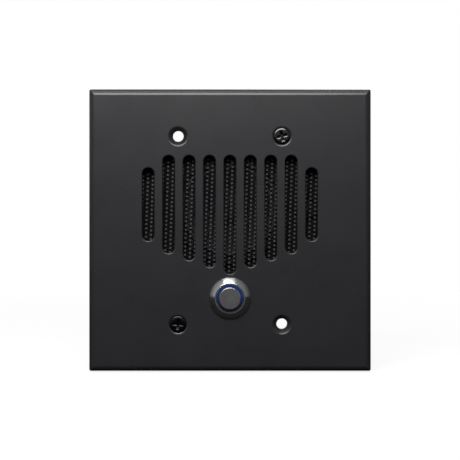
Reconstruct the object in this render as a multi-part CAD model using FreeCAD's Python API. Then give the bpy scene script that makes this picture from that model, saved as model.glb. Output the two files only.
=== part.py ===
# Flush door intercom speaker with one lit push switch, for a two-gang wall box.
# Millimetres, seen by someone who faces the plate: X right, Y into the wall, Z up.
# The origin is the centre of the square rim that lies on the wall, so the front is at negative Y.
import FreeCAD
import Part
import math
import os

# Faceplate
PLATE_SIDE = 125.2
PLATE_DEPTH = 5.5
PLATE_CORNER = 1.25
PLATE_EDGE_ROUND = 2.7
RIM_WIDTH = 8.0
RELIEF_DEPTH = 1.2
RELIEF_CORNER = 4.0

# Sound slots: each slot beside the middle one ends higher, and the outer pair is drawn in at both ends
SLOTS_EACH_SIDE = 4
SLOT_PITCH = 9.05
SLOT_WIDTH = 5.35
SLOT_TOP_Z = 33.15
SLOT_LOW_Z = -19.45
SLOT_LOW_RISE = 3.08
OUTER_SLOT_INSET = 5.5
SLOT_EDGE_ROUND = 0.5

# Screw holes on the two-gang spacing, and the captive screws
HOLE_SPACING_X = 46.04
HOLE_SPACING_Z = 83.34
HOLE_DIAMETER = 4.8
SINK_DIAMETER = 8.2
SINK_ANGLE = 82.0
SINK_EDGE_ROUND = 1.0
SCREW_HEAD = 7.5
SCREW_DOME = 0.5
SCREW_THREAD = 3.5
SCREW_NECK = 2.7
SCREW_LENGTH = 25.4
SCREW_POINT = 0.6
SCREW_THREAD_START = 1.6
SCREW_FIT = 0.02
RECESS_ARM = 5.0
RECESS_SLOT = 1.1
RECESS_DEPTH = 1.4
RECESS_TURN_RIGHT = 15.0
RECESS_TURN_LEFT = -6.0
RETAINER_DIAMETER = 7.5
RETAINER_THICKNESS = 0.8
RETAINER_CLEARANCE = 0.1
TAP_RUN_OUT = 0.5

# Expanded-metal screen: its source form has twice the real mesh, the same tilt and the same stagger
SCREEN_THICKNESS = 0.7
SCREEN_INSET = 0.3
SCREEN_CORNER = 2.0
SCREEN_TILT = 2.4
SCREEN_COLUMN_STEP = 4.2
SCREEN_ROW_STEP = 3.76
GAP_HALF_WIDTH = 3.3
GAP_HALF_HEIGHT = 1.35
GAP_TIP_HALF = 0.5
SCREEN_BORDER = 1.0
GAPS_AT_MOST = 300

# Switch: the bezel and its barrel
BUTTON_Z = -29.9
BARREL_DIAMETER = 15.9
BARREL_HOLE_CLEARANCE = 0.1
BARREL_BEHIND = 10.0
BARREL_WALL = 1.05
BEZEL_LAND = 1.1
BEZEL_LIP = 0.68
BEZEL_HEIGHT = 2.8
BEZEL_FOOT = 0.35
SPRING_BORE_CLEARANCE = 0.4
GUIDE_BORE_DIAMETER = 5.0
GUIDE_FRONT_Y = 1.5
GUIDE_THICKNESS = 2.0
SEAL_GROOVE_WIDTH = 0.6
SEAL_GROOVE_DEPTH = 0.5
SEAL_GROOVE_GAP = 0.15

# Switch: the light ring, its board and its pins
RING_RECESS = 0.06
RING_CAP_CLEARANCE = 0.1
RING_WIDTH = 1.15
RING_THICKNESS = 2.3
RING_FIT = 0.02
LIGHT_BOARD_THICKNESS = 0.6
LIGHT_BOARD_CLEARANCE = 0.3
CHIP_LENGTH = 1.6
CHIP_WIDTH = 0.7
CHIP_HEIGHT = 0.7
CHIP_COUNT = 4
PIN_CIRCLE_RADIUS = 5.55
PIN_DIAMETER = 0.6
PIN_CHANNEL_DIAMETER = 0.9

# Switch: what moves with the button
CAP_DIAMETER = 9.6
CAP_PROUD = 0.7
CAP_CHAMFER = 0.5
CAP_DEPTH = 2.6
CAP_SOCKET_DEPTH = 1.8
CAP_SOCKET_DIAMETER = 4.0
BUTTON_TRAVEL = 2.2
PLUNGER_FLANGE_SET_IN = 0.2
PLUNGER_FLANGE = 1.2
STEM_CLEARANCE = 0.08
STEM_END_Y = 8.0
STUB_DIAMETER = 2.4
STUB_LENGTH = 0.9
CLIP_GAP = 0.05
CLIP_THICKNESS = 0.5
CLIP_DIAMETER = 7.4
CLIP_GROOVE_DIAMETER = 3.6
CLIP_MOUTH = 2.5
BRIDGE_LENGTH = 8.4
BRIDGE_WIDTH = 3.4
BRIDGE_THICKNESS = 0.4
SPRING_MEAN_DIAMETER = 7.0
SPRING_WIRE = 0.5
SPRING_TURNS = 4
SPRING_END_GAP = 0.1

# Switch: base, contacts, washer and nut
BASE_SET_BACK = 1.5
BASE_FLOOR = 4.0
BASE_FLANGE_SET_IN = 0.35
BASE_CHAMFER = 0.5
BASE_CAVITY_DIAMETER = 9.6
BASE_CAVITY_SPARE = 1.0
BASE_FIT = 0.02
CONTACT_X = 3.2
CONTACT_PAD = 1.6
CONTACT_GAP_LEFT = 0.15
TAB_WIDTH = 2.0
TAB_THICKNESS = 0.5
TAB_LENGTH = 4.0
NUT_WALL = 1.05
NUT_THICKNESS = 3.0
NUT_CHAMFER = 0.6
LOCK_WASHER_WIDTH = 1.05
LOCK_WASHER_THICKNESS = 0.8
THREAD_FIT = 0.02

# Speaker
SPEAKER_Z = 10.0
SPEAKER_DIAMETER = 50.0
SPEAKER_GASKET_THICKNESS = 1.4
SPEAKER_GASKET_WIDTH = 2.4
SURROUND_SHEET = 0.3
FRAME_SHEET = 0.8
FRAME_MOUTH_SET_IN = 0.6
FRAME_LEDGE_RADIUS = 17.0
FRAME_LEDGE_DEPTH = 6.4
FRAME_CUP_RADIUS = 14.0
FRAME_CUP_DEPTH = 8.3
FRAME_HOLE_CLEARANCE = 0.45
FRAME_WINDOW_WIDTH = 15.0
FRAME_WINDOW_START = 2.0
FRAME_WINDOW_END = 5.4
FRAME_WINDOWS = 4
ROLL_GASKET_CLEARANCE = 0.2
ROLL_WIDTH = 3.0
ROLL_HEIGHT = 0.9
CONE_LIP_SET_IN = 0.1
CONE_LIP_WIDTH = 1.3
CONE_LIP_BARE = 0.2
CONE_SHEET = 0.35
CONE_MID_RADIUS = 11.6
CONE_MID_DEPTH = 3.1
CONE_DEPTH = 5.0
CONE_GLUE_GAP = 0.06
CONE_TRAVEL = 0.6
DUST_CAP_RADIUS = 8.2
DUST_CAP_RIM_DEPTH = 4.15
DUST_CAP_RISE = 1.6
DUST_CAP_SHEET = 0.25
POLE_RADIUS = 6.0
MAGNET_GAP = 0.3
FORMER_SHEET = 0.12
FORMER_START = 5.0
FORMER_END = 12.2
WINDING_THICKNESS = 0.4
WINDING_LENGTH = 3.2
TOP_PLATE_RADIUS = 13.0
TOP_PLATE_THICKNESS = 2.0
MAGNET_OVERHANG = 1.0
MAGNET_BORE_RADIUS = 9.0
MAGNET_THICKNESS = 5.0
BACK_PLATE_THICKNESS = 1.8
BACK_PLATE_CHAMFER = 0.5
SPIDER_SHEET = 0.3
SPIDER_SET_IN = 0.2
SPIDER_CUP_CLEARANCE = 0.4
SPIDER_GAP = 0.08
SPIDER_WAVES = 3
SPIDER_WAVE_HEIGHT = 0.5
TAG_BOARD_GAP = 0.3
TAG_BOARD_LENGTH = 9.3
TAG_BOARD_HEIGHT = 11.0
TAG_BOARD_THICKNESS = 1.0
TAG_SPACING = 4.6
TAG_WIDTH = 2.2
TAG_THICKNESS = 0.4
TAG_LENGTH = 6.0
TAG_SET_IN = 2.5

# Microphone
MIC_SET_IN = 2.0
CAPSULE_DIAMETER = 9.7
CAPSULE_LENGTH = 6.5
CAPSULE_CHAMFER = 0.4
CAPSULE_FIT = 0.02
BOOT_WALL = 1.35
BOOT_LIP = 0.9
BOOT_LIP_BORE = 6.0
BOOT_LENGTH = 8.5
BOOT_GROOVE_DEPTH = 0.5

# Bracket, standoffs and circuit board
BRACKET_SHEET = 1.2
BRACKET_OPENING_CLEARANCE = 1.1
BRACKET_FOLD = 4.0
BRACKET_CLEARANCE = 0.4
POST_SET_IN_X = 4.3
POST_SET_IN_Z = 3.5
POST_BOSS_DIAMETER = 6.5
POST_BOSS_CLEARANCE = 0.25
POST_FLATS = 5.5
POST_THREAD = 3.0
POST_STUD = 5.5
POST_TAP_DEPTH = 6.5
BOARD_MAGNET_GAP = 1.9
BOARD_THICKNESS = 1.6
BOARD_CLEARANCE = 0.9
BOARD_CORNER = 1.0

# On the back of the board
CHIP_PACKAGE = (9.8, 3.3, 6.4)
CHIP_CENTRE = (-4.0, 12.0)
CHIP_STANDOFF = 0.5
LEG_PITCH = 2.54
LEGS_PER_SIDE = 4
LEG_WIDTH = 0.5
LEG_THICKNESS = 0.3
LEG_REACH = 0.9
CAN_PLACES = ((-20.0, 22.0), (-31.0, 20.0), (-20.0, 8.0))
CAN_DIAMETER = 8.0
CAN_HEIGHT = 7.8
CAN_COVER_GAP = 1.1
CAN_GROOVE = 0.35
CAN_GROOVE_START = 1.05
CAN_ROUND = 0.35
RESISTOR_COUNT = 6
RESISTOR_FIRST_X = 9.0
RESISTOR_PITCH = 4.2
RESISTOR_Z = 10.0
RESISTOR_DIAMETER = 2.3
RESISTOR_LENGTH = 6.2
RESISTOR_LEAD = 0.6
RESISTOR_SPAN = 10.2
TRIMMER_X = -24.0
TRIMMER_Z = -8.5
TRIMMER_SIDE = 6.8
TRIMMER_HEIGHT = 4.2
TRIMMER_CORNER = 0.5
ROTOR_DIAMETER = 5.0
ROTOR_SINK = 1.5
ROTOR_PROUD = 0.4
ROTOR_CLEARANCE = 0.08
ROTOR_SLOT = 0.7
ROTOR_SLOT_LENGTH = 3.6
ROTOR_SLOT_DEPTH = 0.9
BLOCK_WAYS = 4
BLOCK_PITCH = 5.08
BLOCK_LEFT_X = 12.6
BLOCK_DEPTH = 8.0
BLOCK_HEIGHT = 9.8
BLOCK_SCREW_HOLE = 3.9
BLOCK_SCREW = 3.6
BLOCK_SCREW_SINK = 1.4
BLOCK_SCREW_LENGTH = 3.0
BLOCK_SCREW_SLOT = 0.7
BLOCK_SCREW_SLOT_DEPTH = 0.8
BLOCK_SLOPE_HEIGHT = 2.5
BLOCK_SLOPE_RUN = 1.5
BLOCK_MOUTH_WIDTH = 3.8
BLOCK_MOUTH_HEIGHT = 3.6
BLOCK_MOUTH_DEPTH = 5.0
BLOCK_MOUTH_LIFT = 1.2
CLAMP_INSET = 0.1
CLAMP_WALL = 0.5
CLAMP_SET_BACK = 1.0

# Rear housing
HOUSING_WIDTH = 88.4
HOUSING_WASHER_GAP = 0.12
HOUSING_NUT_GAP = 0.4
HOUSING_WALL = 1.9
HOUSING_BACK = 2.0
HOUSING_CORNER = 3.0
HOUSING_BACK_ROUND = 1.4
SEAL_THICKNESS = 0.8
WINDOW_CLEARANCE = 0.4
TRIMMER_ACCESS = 5.0
COVER_SCREW_HOLE = 3.4
COVER_SCREW_HEAD = 5.5
COVER_SCREW_HEIGHT = 1.9
COVER_SCREW_CHAMFER = 0.8
COVER_SCREW_LENGTH = 6.0
COVER_SCREW_SINK = 0.6
COVER_SINK_CLEARANCE = 0.3
COVER_RECESS = 1.0
COVER_RECESS_ARM = 3.4
COVER_RECESS_SLOT = 0.75

# Leads and grommet
LEAD_DIAMETER = 1.1
GROMMET_COVER_GAP = 0.3
GROMMET_HOLE = 6.0
GROMMET_FLANGE = 8.0
GROMMET_FLANGE_THICKNESS = 0.9
GROMMET_BORE = 4.0
LEAD_SPREAD = 1.3
LEAD_LANDING_Z = -13.0
LEAD_LANDING_STEP = 1.6
LEAD_GATHER = 8.1
TAG_LEAD_RISE = 4.0
TAG_LEAD_DRIFT = 2.5
TAG_LEAD_SPREAD = 1.5
TAG_LEAD_END = 3.5
CAPSULE_LEAD_SPACING = 2.6
CAPSULE_LEAD_RISE = 4.5
CAPSULE_LEAD_LIFT = 2.5
CAPSULE_LEAD_SPREAD = 1.0
CAPSULE_LEAD_END = 5.0

# Diameters and radii of pieces that fit into one another, from the sizes above
BARREL_HOLE_DIAMETER = BARREL_DIAMETER + 2 * BARREL_HOLE_CLEARANCE
BEZEL_DIAMETER = BARREL_DIAMETER + 2 * BEZEL_LAND
BASE_SOCKET_DIAMETER = BARREL_DIAMETER - 2 * BARREL_WALL
BASE_FLANGE_DIAMETER = BARREL_DIAMETER - 2 * BASE_FLANGE_SET_IN
NUT_FLATS = BARREL_DIAMETER + 2 * NUT_WALL
LOCK_WASHER_DIAMETER = BARREL_DIAMETER + 2 * LOCK_WASHER_WIDTH
RING_BORE_DIAMETER = CAP_DIAMETER + 2 * RING_CAP_CLEARANCE
RING_DIAMETER = RING_BORE_DIAMETER + 2 * RING_WIDTH
LENS_POCKET_DIAMETER = RING_DIAMETER + 2 * RING_FIT
BEZEL_TOP_DIAMETER = LENS_POCKET_DIAMETER + 2 * BEZEL_LIP
LIGHT_BOARD_BORE = CAP_DIAMETER + 2 * LIGHT_BOARD_CLEARANCE
SPRING_BORE_DIAMETER = CAP_DIAMETER + 2 * SPRING_BORE_CLEARANCE
PLUNGER_FLANGE_DIAMETER = CAP_DIAMETER - 2 * PLUNGER_FLANGE_SET_IN
GASKET_BORE_RADIUS = SPEAKER_DIAMETER / 2 - SPEAKER_GASKET_WIDTH
ROLL_OUTER_RADIUS = GASKET_BORE_RADIUS - ROLL_GASKET_CLEARANCE
ROLL_INNER_RADIUS = ROLL_OUTER_RADIUS - ROLL_WIDTH
CONE_LIP_OUTER = ROLL_INNER_RADIUS - CONE_LIP_SET_IN
CONE_LIP_INNER = CONE_LIP_OUTER - CONE_LIP_WIDTH
FRAME_MOUTH_RADIUS = ROLL_OUTER_RADIUS - FRAME_MOUTH_SET_IN
BRACKET_OPENING_RADIUS = FRAME_MOUTH_RADIUS + BRACKET_OPENING_CLEARANCE
SPIDER_OUTER = FRAME_LEDGE_RADIUS - SPIDER_SET_IN
SPIDER_SEAT = FRAME_CUP_RADIUS + SPIDER_CUP_CLEARANCE
FORMER_RADIUS = POLE_RADIUS + MAGNET_GAP
MAGNET_GAP_RADIUS = FORMER_RADIUS + FORMER_SHEET + WINDING_THICKNESS + MAGNET_GAP
MAGNET_RADIUS = TOP_PLATE_RADIUS + MAGNET_OVERHANG

# Places along Y, from the face to the back of the housing
FACE_Y = -PLATE_DEPTH
WEB_Y = -RELIEF_DEPTH
SCREEN_Y = WEB_Y + SCREEN_THICKNESS
HOUSING_RIM_Y = SCREEN_Y + SEAL_THICKNESS
SURROUND_Y = SCREEN_Y + SPEAKER_GASKET_THICKNESS
FLANGE_Y = SURROUND_Y + SURROUND_SHEET
BRACKET_Y = FLANGE_Y + FRAME_SHEET
BRACKET_BACK_Y = BRACKET_Y + BRACKET_SHEET
LEDGE_Y = FLANGE_Y + FRAME_LEDGE_DEPTH
CUP_FLOOR_Y = FLANGE_Y + FRAME_CUP_DEPTH
TOP_PLATE_Y = CUP_FLOOR_Y + FRAME_SHEET
MAGNET_Y = TOP_PLATE_Y + TOP_PLATE_THICKNESS
BACK_PLATE_Y = MAGNET_Y + MAGNET_THICKNESS
BACK_PLATE_END_Y = BACK_PLATE_Y + BACK_PLATE_THICKNESS
BOARD_Y = BACK_PLATE_END_Y + BOARD_MAGNET_GAP
BOARD_BACK_Y = BOARD_Y + BOARD_THICKNESS
HOUSING_WALL_Y = BOARD_BACK_Y + CAN_HEIGHT + CAN_COVER_GAP
HOUSING_BACK_Y = HOUSING_WALL_Y + HOUSING_BACK
BEZEL_Y = FACE_Y - BEZEL_HEIGHT
RING_Y = BEZEL_Y + RING_RECESS
LIGHT_BOARD_Y = RING_Y + RING_THICKNESS + CHIP_HEIGHT
LIGHT_BOARD_BACK_Y = LIGHT_BOARD_Y + LIGHT_BOARD_THICKNESS
CAP_Y = BEZEL_Y - CAP_PROUD
PLUNGER_FLANGE_Y = CAP_Y + CAP_DEPTH
SPRING_SEAT_Y = PLUNGER_FLANGE_Y + PLUNGER_FLANGE
GUIDE_BACK_Y = GUIDE_FRONT_Y + GUIDE_THICKNESS
BASE_FRONT_Y = GUIDE_BACK_Y + BASE_SET_BACK
BRIDGE_BACK_Y = STEM_END_Y + BRIDGE_THICKNESS
CONTACT_FACE_Y = BRIDGE_BACK_Y + BUTTON_TRAVEL + CONTACT_GAP_LEFT
BASE_CAVITY_END_Y = BRIDGE_BACK_Y + STUB_LENGTH + BUTTON_TRAVEL + BASE_CAVITY_SPARE
BASE_BACK_Y = BASE_CAVITY_END_Y + BASE_FLOOR
TAB_END_Y = BASE_BACK_Y + TAB_LENGTH
TAG_BOARD_Y = LEDGE_Y + FRAME_SHEET
CAPSULE_Y = SCREEN_Y + BOOT_LIP
GROMMET_Y = HOUSING_WALL_Y - GROMMET_FLANGE / 2 - GROMMET_COVER_GAP

# Places across and up the plate
HOUSING_X = HOUSING_WIDTH / 2
HOUSING_TOP_Z = HOLE_SPACING_Z / 2 - RETAINER_DIAMETER / 2 - HOUSING_WASHER_GAP
HOUSING_LOW_Z = BUTTON_Z + NUT_FLATS / 2 + HOUSING_NUT_GAP
POST_X = HOUSING_X - HOUSING_WALL - POST_SET_IN_X
POST_TOP_Z = HOUSING_TOP_Z - HOUSING_WALL - POST_SET_IN_Z
POST_LOW_Z = HOUSING_LOW_Z + HOUSING_WALL + POST_SET_IN_Z
MIC_X = SLOTS_EACH_SIDE * SLOT_PITCH - MIC_SET_IN
MIC_Z = (SLOT_TOP_Z + SLOT_LOW_Z + (SLOTS_EACH_SIDE - 1) * SLOT_LOW_RISE) / 2
TAG_BOARD_X = -(FRAME_CUP_RADIUS + FRAME_SHEET + TAG_BOARD_GAP)
TAG_X = TAG_BOARD_X - TAG_SET_IN
BLOCK_LOW_Z = HOUSING_LOW_Z + HOUSING_WALL + WINDOW_CLEARANCE
BLOCK_LENGTH = BLOCK_WAYS * BLOCK_PITCH
POST_PLACES = [(x, z) for z in (POST_TOP_Z, POST_LOW_Z) for x in (-POST_X, POST_X)]
HOLE_PLACES = [(x, z) for z in (HOLE_SPACING_Z / 2, -HOLE_SPACING_Z / 2)
               for x in (-HOLE_SPACING_X / 2, HOLE_SPACING_X / 2)]
INTO_WALL = FreeCAD.Vector(0, 1, 0)


def at(x, y, z):
    return FreeCAD.Vector(x, y, z)


# A round bar along Y, from y0 to y1
def bar(diameter, y0, y1, x=0.0, z=0.0):
    return Part.makeCylinder(diameter / 2, y1 - y0, at(x, y0, z), INTO_WALL)


# A round tube along Y
def ring(outer, inner, y0, y1, x=0.0, z=0.0):
    return bar(outer, y0, y1, x, z).cut(bar(inner, y0 - 1, y1 + 1, x, z))


# A box between two corners
def block(x0, x1, y0, y1, z0, z1):
    return Part.makeBox(x1 - x0, y1 - y0, z1 - z0, at(x0, y0, z0))


# A hexagonal bar along Y with two flats level
def hexagon(across_flats, y0, y1, x, z):
    radius = across_flats / math.sqrt(3)
    corners = [at(x + radius * math.cos(math.radians(60 * i)), y0, z + radius * math.sin(math.radians(60 * i)))
               for i in range(7)]
    return Part.Face(Part.makePolygon(corners)).extrude(at(0, y1 - y0, 0))


# A closed outline of (radius, y) points, turned about the Y axis through x, z
def turned(outline, x=0.0, z=0.0):
    points = [at(x + r, y, z) for r, y in outline]
    face = Part.Face(Part.makePolygon(points + points[:1]))
    return face.revolve(at(x, 0, z), INTO_WALL, 360)


# A rounded rectangle in the XZ plane as a wire at y
def rounded_outline(x0, x1, z0, z1, radius, y):
    k = radius * (1 - math.sqrt(0.5))
    corners = ((x1, z1, -1, -1), (x0, z1, 1, -1), (x0, z0, 1, 1), (x1, z0, -1, 1))
    edges = []
    last = None
    for index, (x, z, sx, sz) in enumerate(corners):
        beside = at(x, y, z + sz * radius)
        along = at(x + sx * radius, y, z)
        start, end = (beside, along) if index % 2 == 0 else (along, beside)
        if last is not None:
            edges.append(Part.LineSegment(last, start).toShape())
        edges.append(Part.Arc(start, at(x + sx * k, y, z + sz * k), end).toShape())
        last = end
    edges.append(Part.LineSegment(last, edges[0].Vertexes[0].Point).toShape())
    return Part.Wire(edges)


# A rounded rectangle along Y, from y0 to y1
def slab(x0, x1, z0, z1, radius, y0, y1):
    return Part.Face(rounded_outline(x0, x1, z0, z1, radius, y0)).extrude(at(0, y1 - y0, 0))


# An upright round-ended outline at y
def slot_outline(x, top_z, low_z, width, y):
    r = width / 2
    top = at(x, y, top_z - r)
    low = at(x, y, low_z + r)
    side = at(r, 0, 0)
    return Part.Wire([
        Part.LineSegment(low + side, top + side).toShape(),
        Part.Arc(top + side, top + at(0, 0, r), top - side).toShape(),
        Part.LineSegment(top - side, low - side).toShape(),
        Part.Arc(low - side, low - at(0, 0, r), low + side).toShape(),
    ])


# The middle of an arc that leaves a along the line to corner and ends at b
def arc_through(a, corner, b):
    middle = (a + b) * 0.5
    out = corner - middle
    half_chord = (b - a).Length / 2
    turn = 2 * math.atan2(out.Length, half_chord)
    out.normalize()
    return Part.Arc(a, middle + out * (half_chord * math.tan(turn / 4)), b).toShape()


# Straight runs joined by tangent arcs, each as large as its two runs allow; returns the wire and its radii
def bent_path(points):
    edges = []
    radii = []
    start = points[0]
    for before, corner, after in zip(points, points[1:], points[2:]):
        into = corner - before
        out = after - corner
        reach = 0.45 * min(into.Length, out.Length)
        turn = into.getAngle(out)
        into.normalize()
        out.normalize()
        arc_start = corner - into * reach
        arc_end = corner + out * reach
        edges.append(Part.LineSegment(start, arc_start).toShape())
        edges.append(arc_through(arc_start, corner, arc_end))
        radii.append(reach / math.tan(turn / 2))
        start = arc_end
    edges.append(Part.LineSegment(start, points[-1]).toShape())
    return Part.Wire(edges), radii


# A round section swept along a wire that starts along the direction given
def swept(wire, start, direction, diameter):
    circle = Part.Circle(start, direction, diameter / 2).toShape()
    return wire.makePipeShell([Part.Wire(circle)], True, False)


# A lead along hand-placed points
def lead(points, name):
    path = [at(*p) for p in points]
    wire, radii = bent_path(path)
    solid = swept(wire, path[0], path[1] - path[0], LEAD_DIAMETER)
    share = solid.Volume / (math.pi * LEAD_DIAMETER ** 2 / 4 * wire.Length)
    print(f"{name}: radii {[round(r, 2) for r in radii]}, volume over section times length {share:.4f}")
    return solid


# One turn of a spring is four biarcs, each of two arcs that meet halfway
def spring_wire(mean_radius, turns, y0, y1, z):
    pitch = (y1 - y0) / turns
    quarter = math.pi / 2
    slope = pitch / (2 * math.pi)

    def place(a):
        return at(mean_radius * math.cos(a), y0 + slope * a, z + mean_radius * math.sin(a))

    def heading(a):
        v = at(-mean_radius * math.sin(a), slope, mean_radius * math.cos(a))
        v.normalize()
        return v

    edges = []
    for step in range(4 * turns):
        a0 = step * quarter
        a1 = a0 + quarter
        p0, p1, t0, t1 = place(a0), place(a1), heading(a0), heading(a1)
        v = p1 - p0
        t = t0 + t1
        square = t.dot(t) - 4
        reach = (v.dot(t) - math.sqrt(v.dot(t) ** 2 - square * v.dot(v))) / square
        corner0 = p0 + t0 * reach
        corner1 = p1 - t1 * reach
        joint = (corner0 + corner1) * 0.5
        edges.append(arc_through(p0, corner0, joint))
        edges.append(arc_through(joint, corner1, p1))
    return Part.Wire(edges), place(0), heading(0), pitch


# The low and high end of each sound slot, from the left
def slot_ends():
    ends = []
    for index in range(-SLOTS_EACH_SIDE, SLOTS_EACH_SIDE + 1):
        outer = abs(index) == SLOTS_EACH_SIDE
        steps = min(abs(index), SLOTS_EACH_SIDE - 1)
        inset = OUTER_SLOT_INSET if outer else 0.0
        ends.append((index * SLOT_PITCH, SLOT_LOW_Z + steps * SLOT_LOW_RISE + inset, SLOT_TOP_Z - inset))
    return ends


# The quarter round of the front edge runs along each side, and the four sides meet in mitres
def edge_rounded_bar(along_x):
    half = PLATE_SIDE / 2
    r = PLATE_EDGE_ROUND
    k = r * (1 - math.sqrt(0.5))

    def corner(side, y):
        return at(-half, y, side) if along_x else at(side, y, -half)

    edges = [
        Part.LineSegment(corner(-half, 0), corner(-half, FACE_Y + r)).toShape(),
        Part.Arc(corner(-half, FACE_Y + r), corner(-half + k, FACE_Y + k), corner(-half + r, FACE_Y)).toShape(),
        Part.LineSegment(corner(-half + r, FACE_Y), corner(half - r, FACE_Y)).toShape(),
        Part.Arc(corner(half - r, FACE_Y), corner(half - k, FACE_Y + k), corner(half, FACE_Y + r)).toShape(),
        Part.LineSegment(corner(half, FACE_Y + r), corner(half, 0)).toShape(),
        Part.LineSegment(corner(half, 0), corner(-half, 0)).toShape(),
    ]
    along = at(PLATE_SIDE, 0, 0) if along_x else at(0, 0, PLATE_SIDE)
    return Part.Face(Part.Wire(edges)).extrude(along)


def sink_depth(diameter):
    return (SINK_DIAMETER - diameter) / 2 / math.tan(math.radians(SINK_ANGLE / 2))


# Edges that a cutter has left in the flat of the face, inside the plate's own rounded edge
def edges_in_face(plate):
    flat = PLATE_SIDE / 2 - PLATE_EDGE_ROUND - 1
    found = []
    for edge in plate.Edges:
        spots = [v.Point for v in edge.Vertexes] + [edge.CenterOfMass]
        if all(abs(p.y - FACE_Y) < 1e-6 and max(abs(p.x), abs(p.z)) < flat for p in spots):
            found.append(edge)
    return found


def faceplate():
    half = PLATE_SIDE / 2
    plate = edge_rounded_bar(True).common(edge_rounded_bar(False))
    plate = plate.common(slab(-half, half, -half, half, PLATE_CORNER, FACE_Y - 1, 1))
    inner = half - RIM_WIDTH
    plate = plate.cut(slab(-inner, inner, -inner, inner, RELIEF_CORNER, WEB_Y, 1))
    for x, low, top in slot_ends():
        outline = Part.Face(slot_outline(x, top, low, SLOT_WIDTH, FACE_Y - 1))
        plate = plate.cut(outline.extrude(at(0, PLATE_DEPTH + 2, 0)))
    plate = plate.makeFillet(SLOT_EDGE_ROUND, edges_in_face(plate))
    depth = sink_depth(HOLE_DIAMETER)
    for x, z in HOLE_PLACES:
        sink = Part.makeCone(SINK_DIAMETER / 2, HOLE_DIAMETER / 2, depth, at(x, FACE_Y, z), INTO_WALL)
        plate = plate.cut(bar(HOLE_DIAMETER, FACE_Y - 1, 1, x, z)).cut(sink)
    rims = [e for e in edges_in_face(plate) if abs(e.Length - math.pi * SINK_DIAMETER) < 1e-3]
    plate = plate.makeFillet(SINK_EDGE_ROUND, rims)
    plate = plate.cut(bar(BARREL_HOLE_DIAMETER, FACE_Y - 1, 1, 0, BUTTON_Z))
    tapped = POST_THREAD + 2 * THREAD_FIT
    for x, z in POST_PLACES:
        plate = plate.fuse(bar(POST_BOSS_DIAMETER, WEB_Y, BRACKET_Y, x, z))
        plate = plate.cut(bar(tapped, BRACKET_BACK_Y - POST_STUD - TAP_RUN_OUT, BRACKET_Y + 1, x, z))
    return plate.removeSplitter()


# Six-sided gaps in staggered columns, left out at the border and around the bosses
def sound_screen():
    inset = SCREEN_INSET
    x0, x1 = -HOUSING_X + inset, HOUSING_X - inset
    z0, z1 = HOUSING_LOW_Z + inset, HOUSING_TOP_Z - inset
    tilt = math.radians(SCREEN_TILT)
    w, h, t = GAP_HALF_WIDTH, GAP_HALF_HEIGHT, GAP_TIP_HALF
    shape = ((-w, 0), (-t, h), (t, h), (w, 0), (t, -h), (-t, -h))
    boss = POST_BOSS_DIAMETER / 2 + POST_BOSS_CLEARANCE
    wires = []
    columns = math.ceil(x1 / SCREEN_COLUMN_STEP) + 1
    rows = math.ceil((z1 - z0) / 2 / SCREEN_ROW_STEP) + 1
    for column in range(-columns, columns + 1):
        for row in range(-rows, rows + 1):
            cx = column * SCREEN_COLUMN_STEP
            cz = (row + 0.5 * (column % 2)) * SCREEN_ROW_STEP
            corners = []
            for dx, dz in shape:
                x, z = cx + dx, cz + dz
                corners.append((x * math.cos(tilt) + z * math.sin(tilt),
                                (z1 + z0) / 2 + z * math.cos(tilt) - x * math.sin(tilt)))
            clear = all(x0 + SCREEN_BORDER < x < x1 - SCREEN_BORDER
                        and z0 + SCREEN_BORDER < z < z1 - SCREEN_BORDER
                        and all(math.hypot(x - px, z - pz) > boss + SCREEN_BORDER for px, pz in POST_PLACES)
                        for x, z in corners)
            middle = [(sum(x for x, _ in corners) / 6, sum(z for _, z in corners) / 6)]
            clear = clear and all(math.hypot(x - px, z - pz) > boss + w / 2 for px, pz in POST_PLACES
                                  for x, z in middle)
            if clear:
                points = [at(x, WEB_Y, z) for x, z in corners]
                wires.append(Part.makePolygon(points + points[:1]))
    print("screen gaps", len(wires))
    if len(wires) > GAPS_AT_MOST:
        print("more gaps than the screen's source form should have")
    bosses = [Part.Wire(Part.Circle(at(px, WEB_Y, pz), INTO_WALL, boss).toShape()) for px, pz in POST_PLACES]
    outline = rounded_outline(x0, x1, z0, z1, SCREEN_CORNER, WEB_Y)
    face = Part.makeFace([outline] + bosses + wires, "Part::FaceMakerBullseye")
    return face.extrude(at(0, SCREEN_THICKNESS, 0))


def mounting_screw(x, z, turn):
    slack = SCREW_FIT
    head_y = FACE_Y + sink_depth(SCREW_HEAD) - slack
    cone = (SCREW_HEAD - SCREW_NECK) / 2 / math.tan(math.radians(SINK_ANGLE / 2))
    end_y = head_y + SCREW_LENGTH
    neck, thread = SCREW_NECK / 2, SCREW_THREAD / 2
    body = turned(((0, head_y), (SCREW_HEAD / 2, head_y), (neck, head_y + cone), (neck, SCREW_THREAD_START),
                   (thread, SCREW_THREAD_START + (thread - neck)), (thread, end_y - SCREW_POINT),
                   (thread - SCREW_POINT, end_y), (0, end_y)), x, z)
    sphere_radius = ((SCREW_HEAD / 2) ** 2 + SCREW_DOME ** 2) / (2 * SCREW_DOME)
    dome = Part.makeSphere(sphere_radius, at(x, head_y - SCREW_DOME + sphere_radius, z))
    dome = dome.common(bar(SCREW_HEAD, head_y - 2 * SCREW_DOME, head_y, x, z))
    top_y = head_y - SCREW_DOME
    cross = None
    for angle in (0, 90):
        arm = block(-RECESS_SLOT / 2, RECESS_SLOT / 2, top_y - 1, top_y + RECESS_DEPTH,
                    -RECESS_ARM / 2, RECESS_ARM / 2)
        arm.rotate(at(0, 0, 0), INTO_WALL, angle - turn)
        arm.translate(at(x, 0, z))
        cross = arm if cross is None else cross.fuse(arm)
    return body.fuse(dome).cut(cross).removeSplitter()


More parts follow.
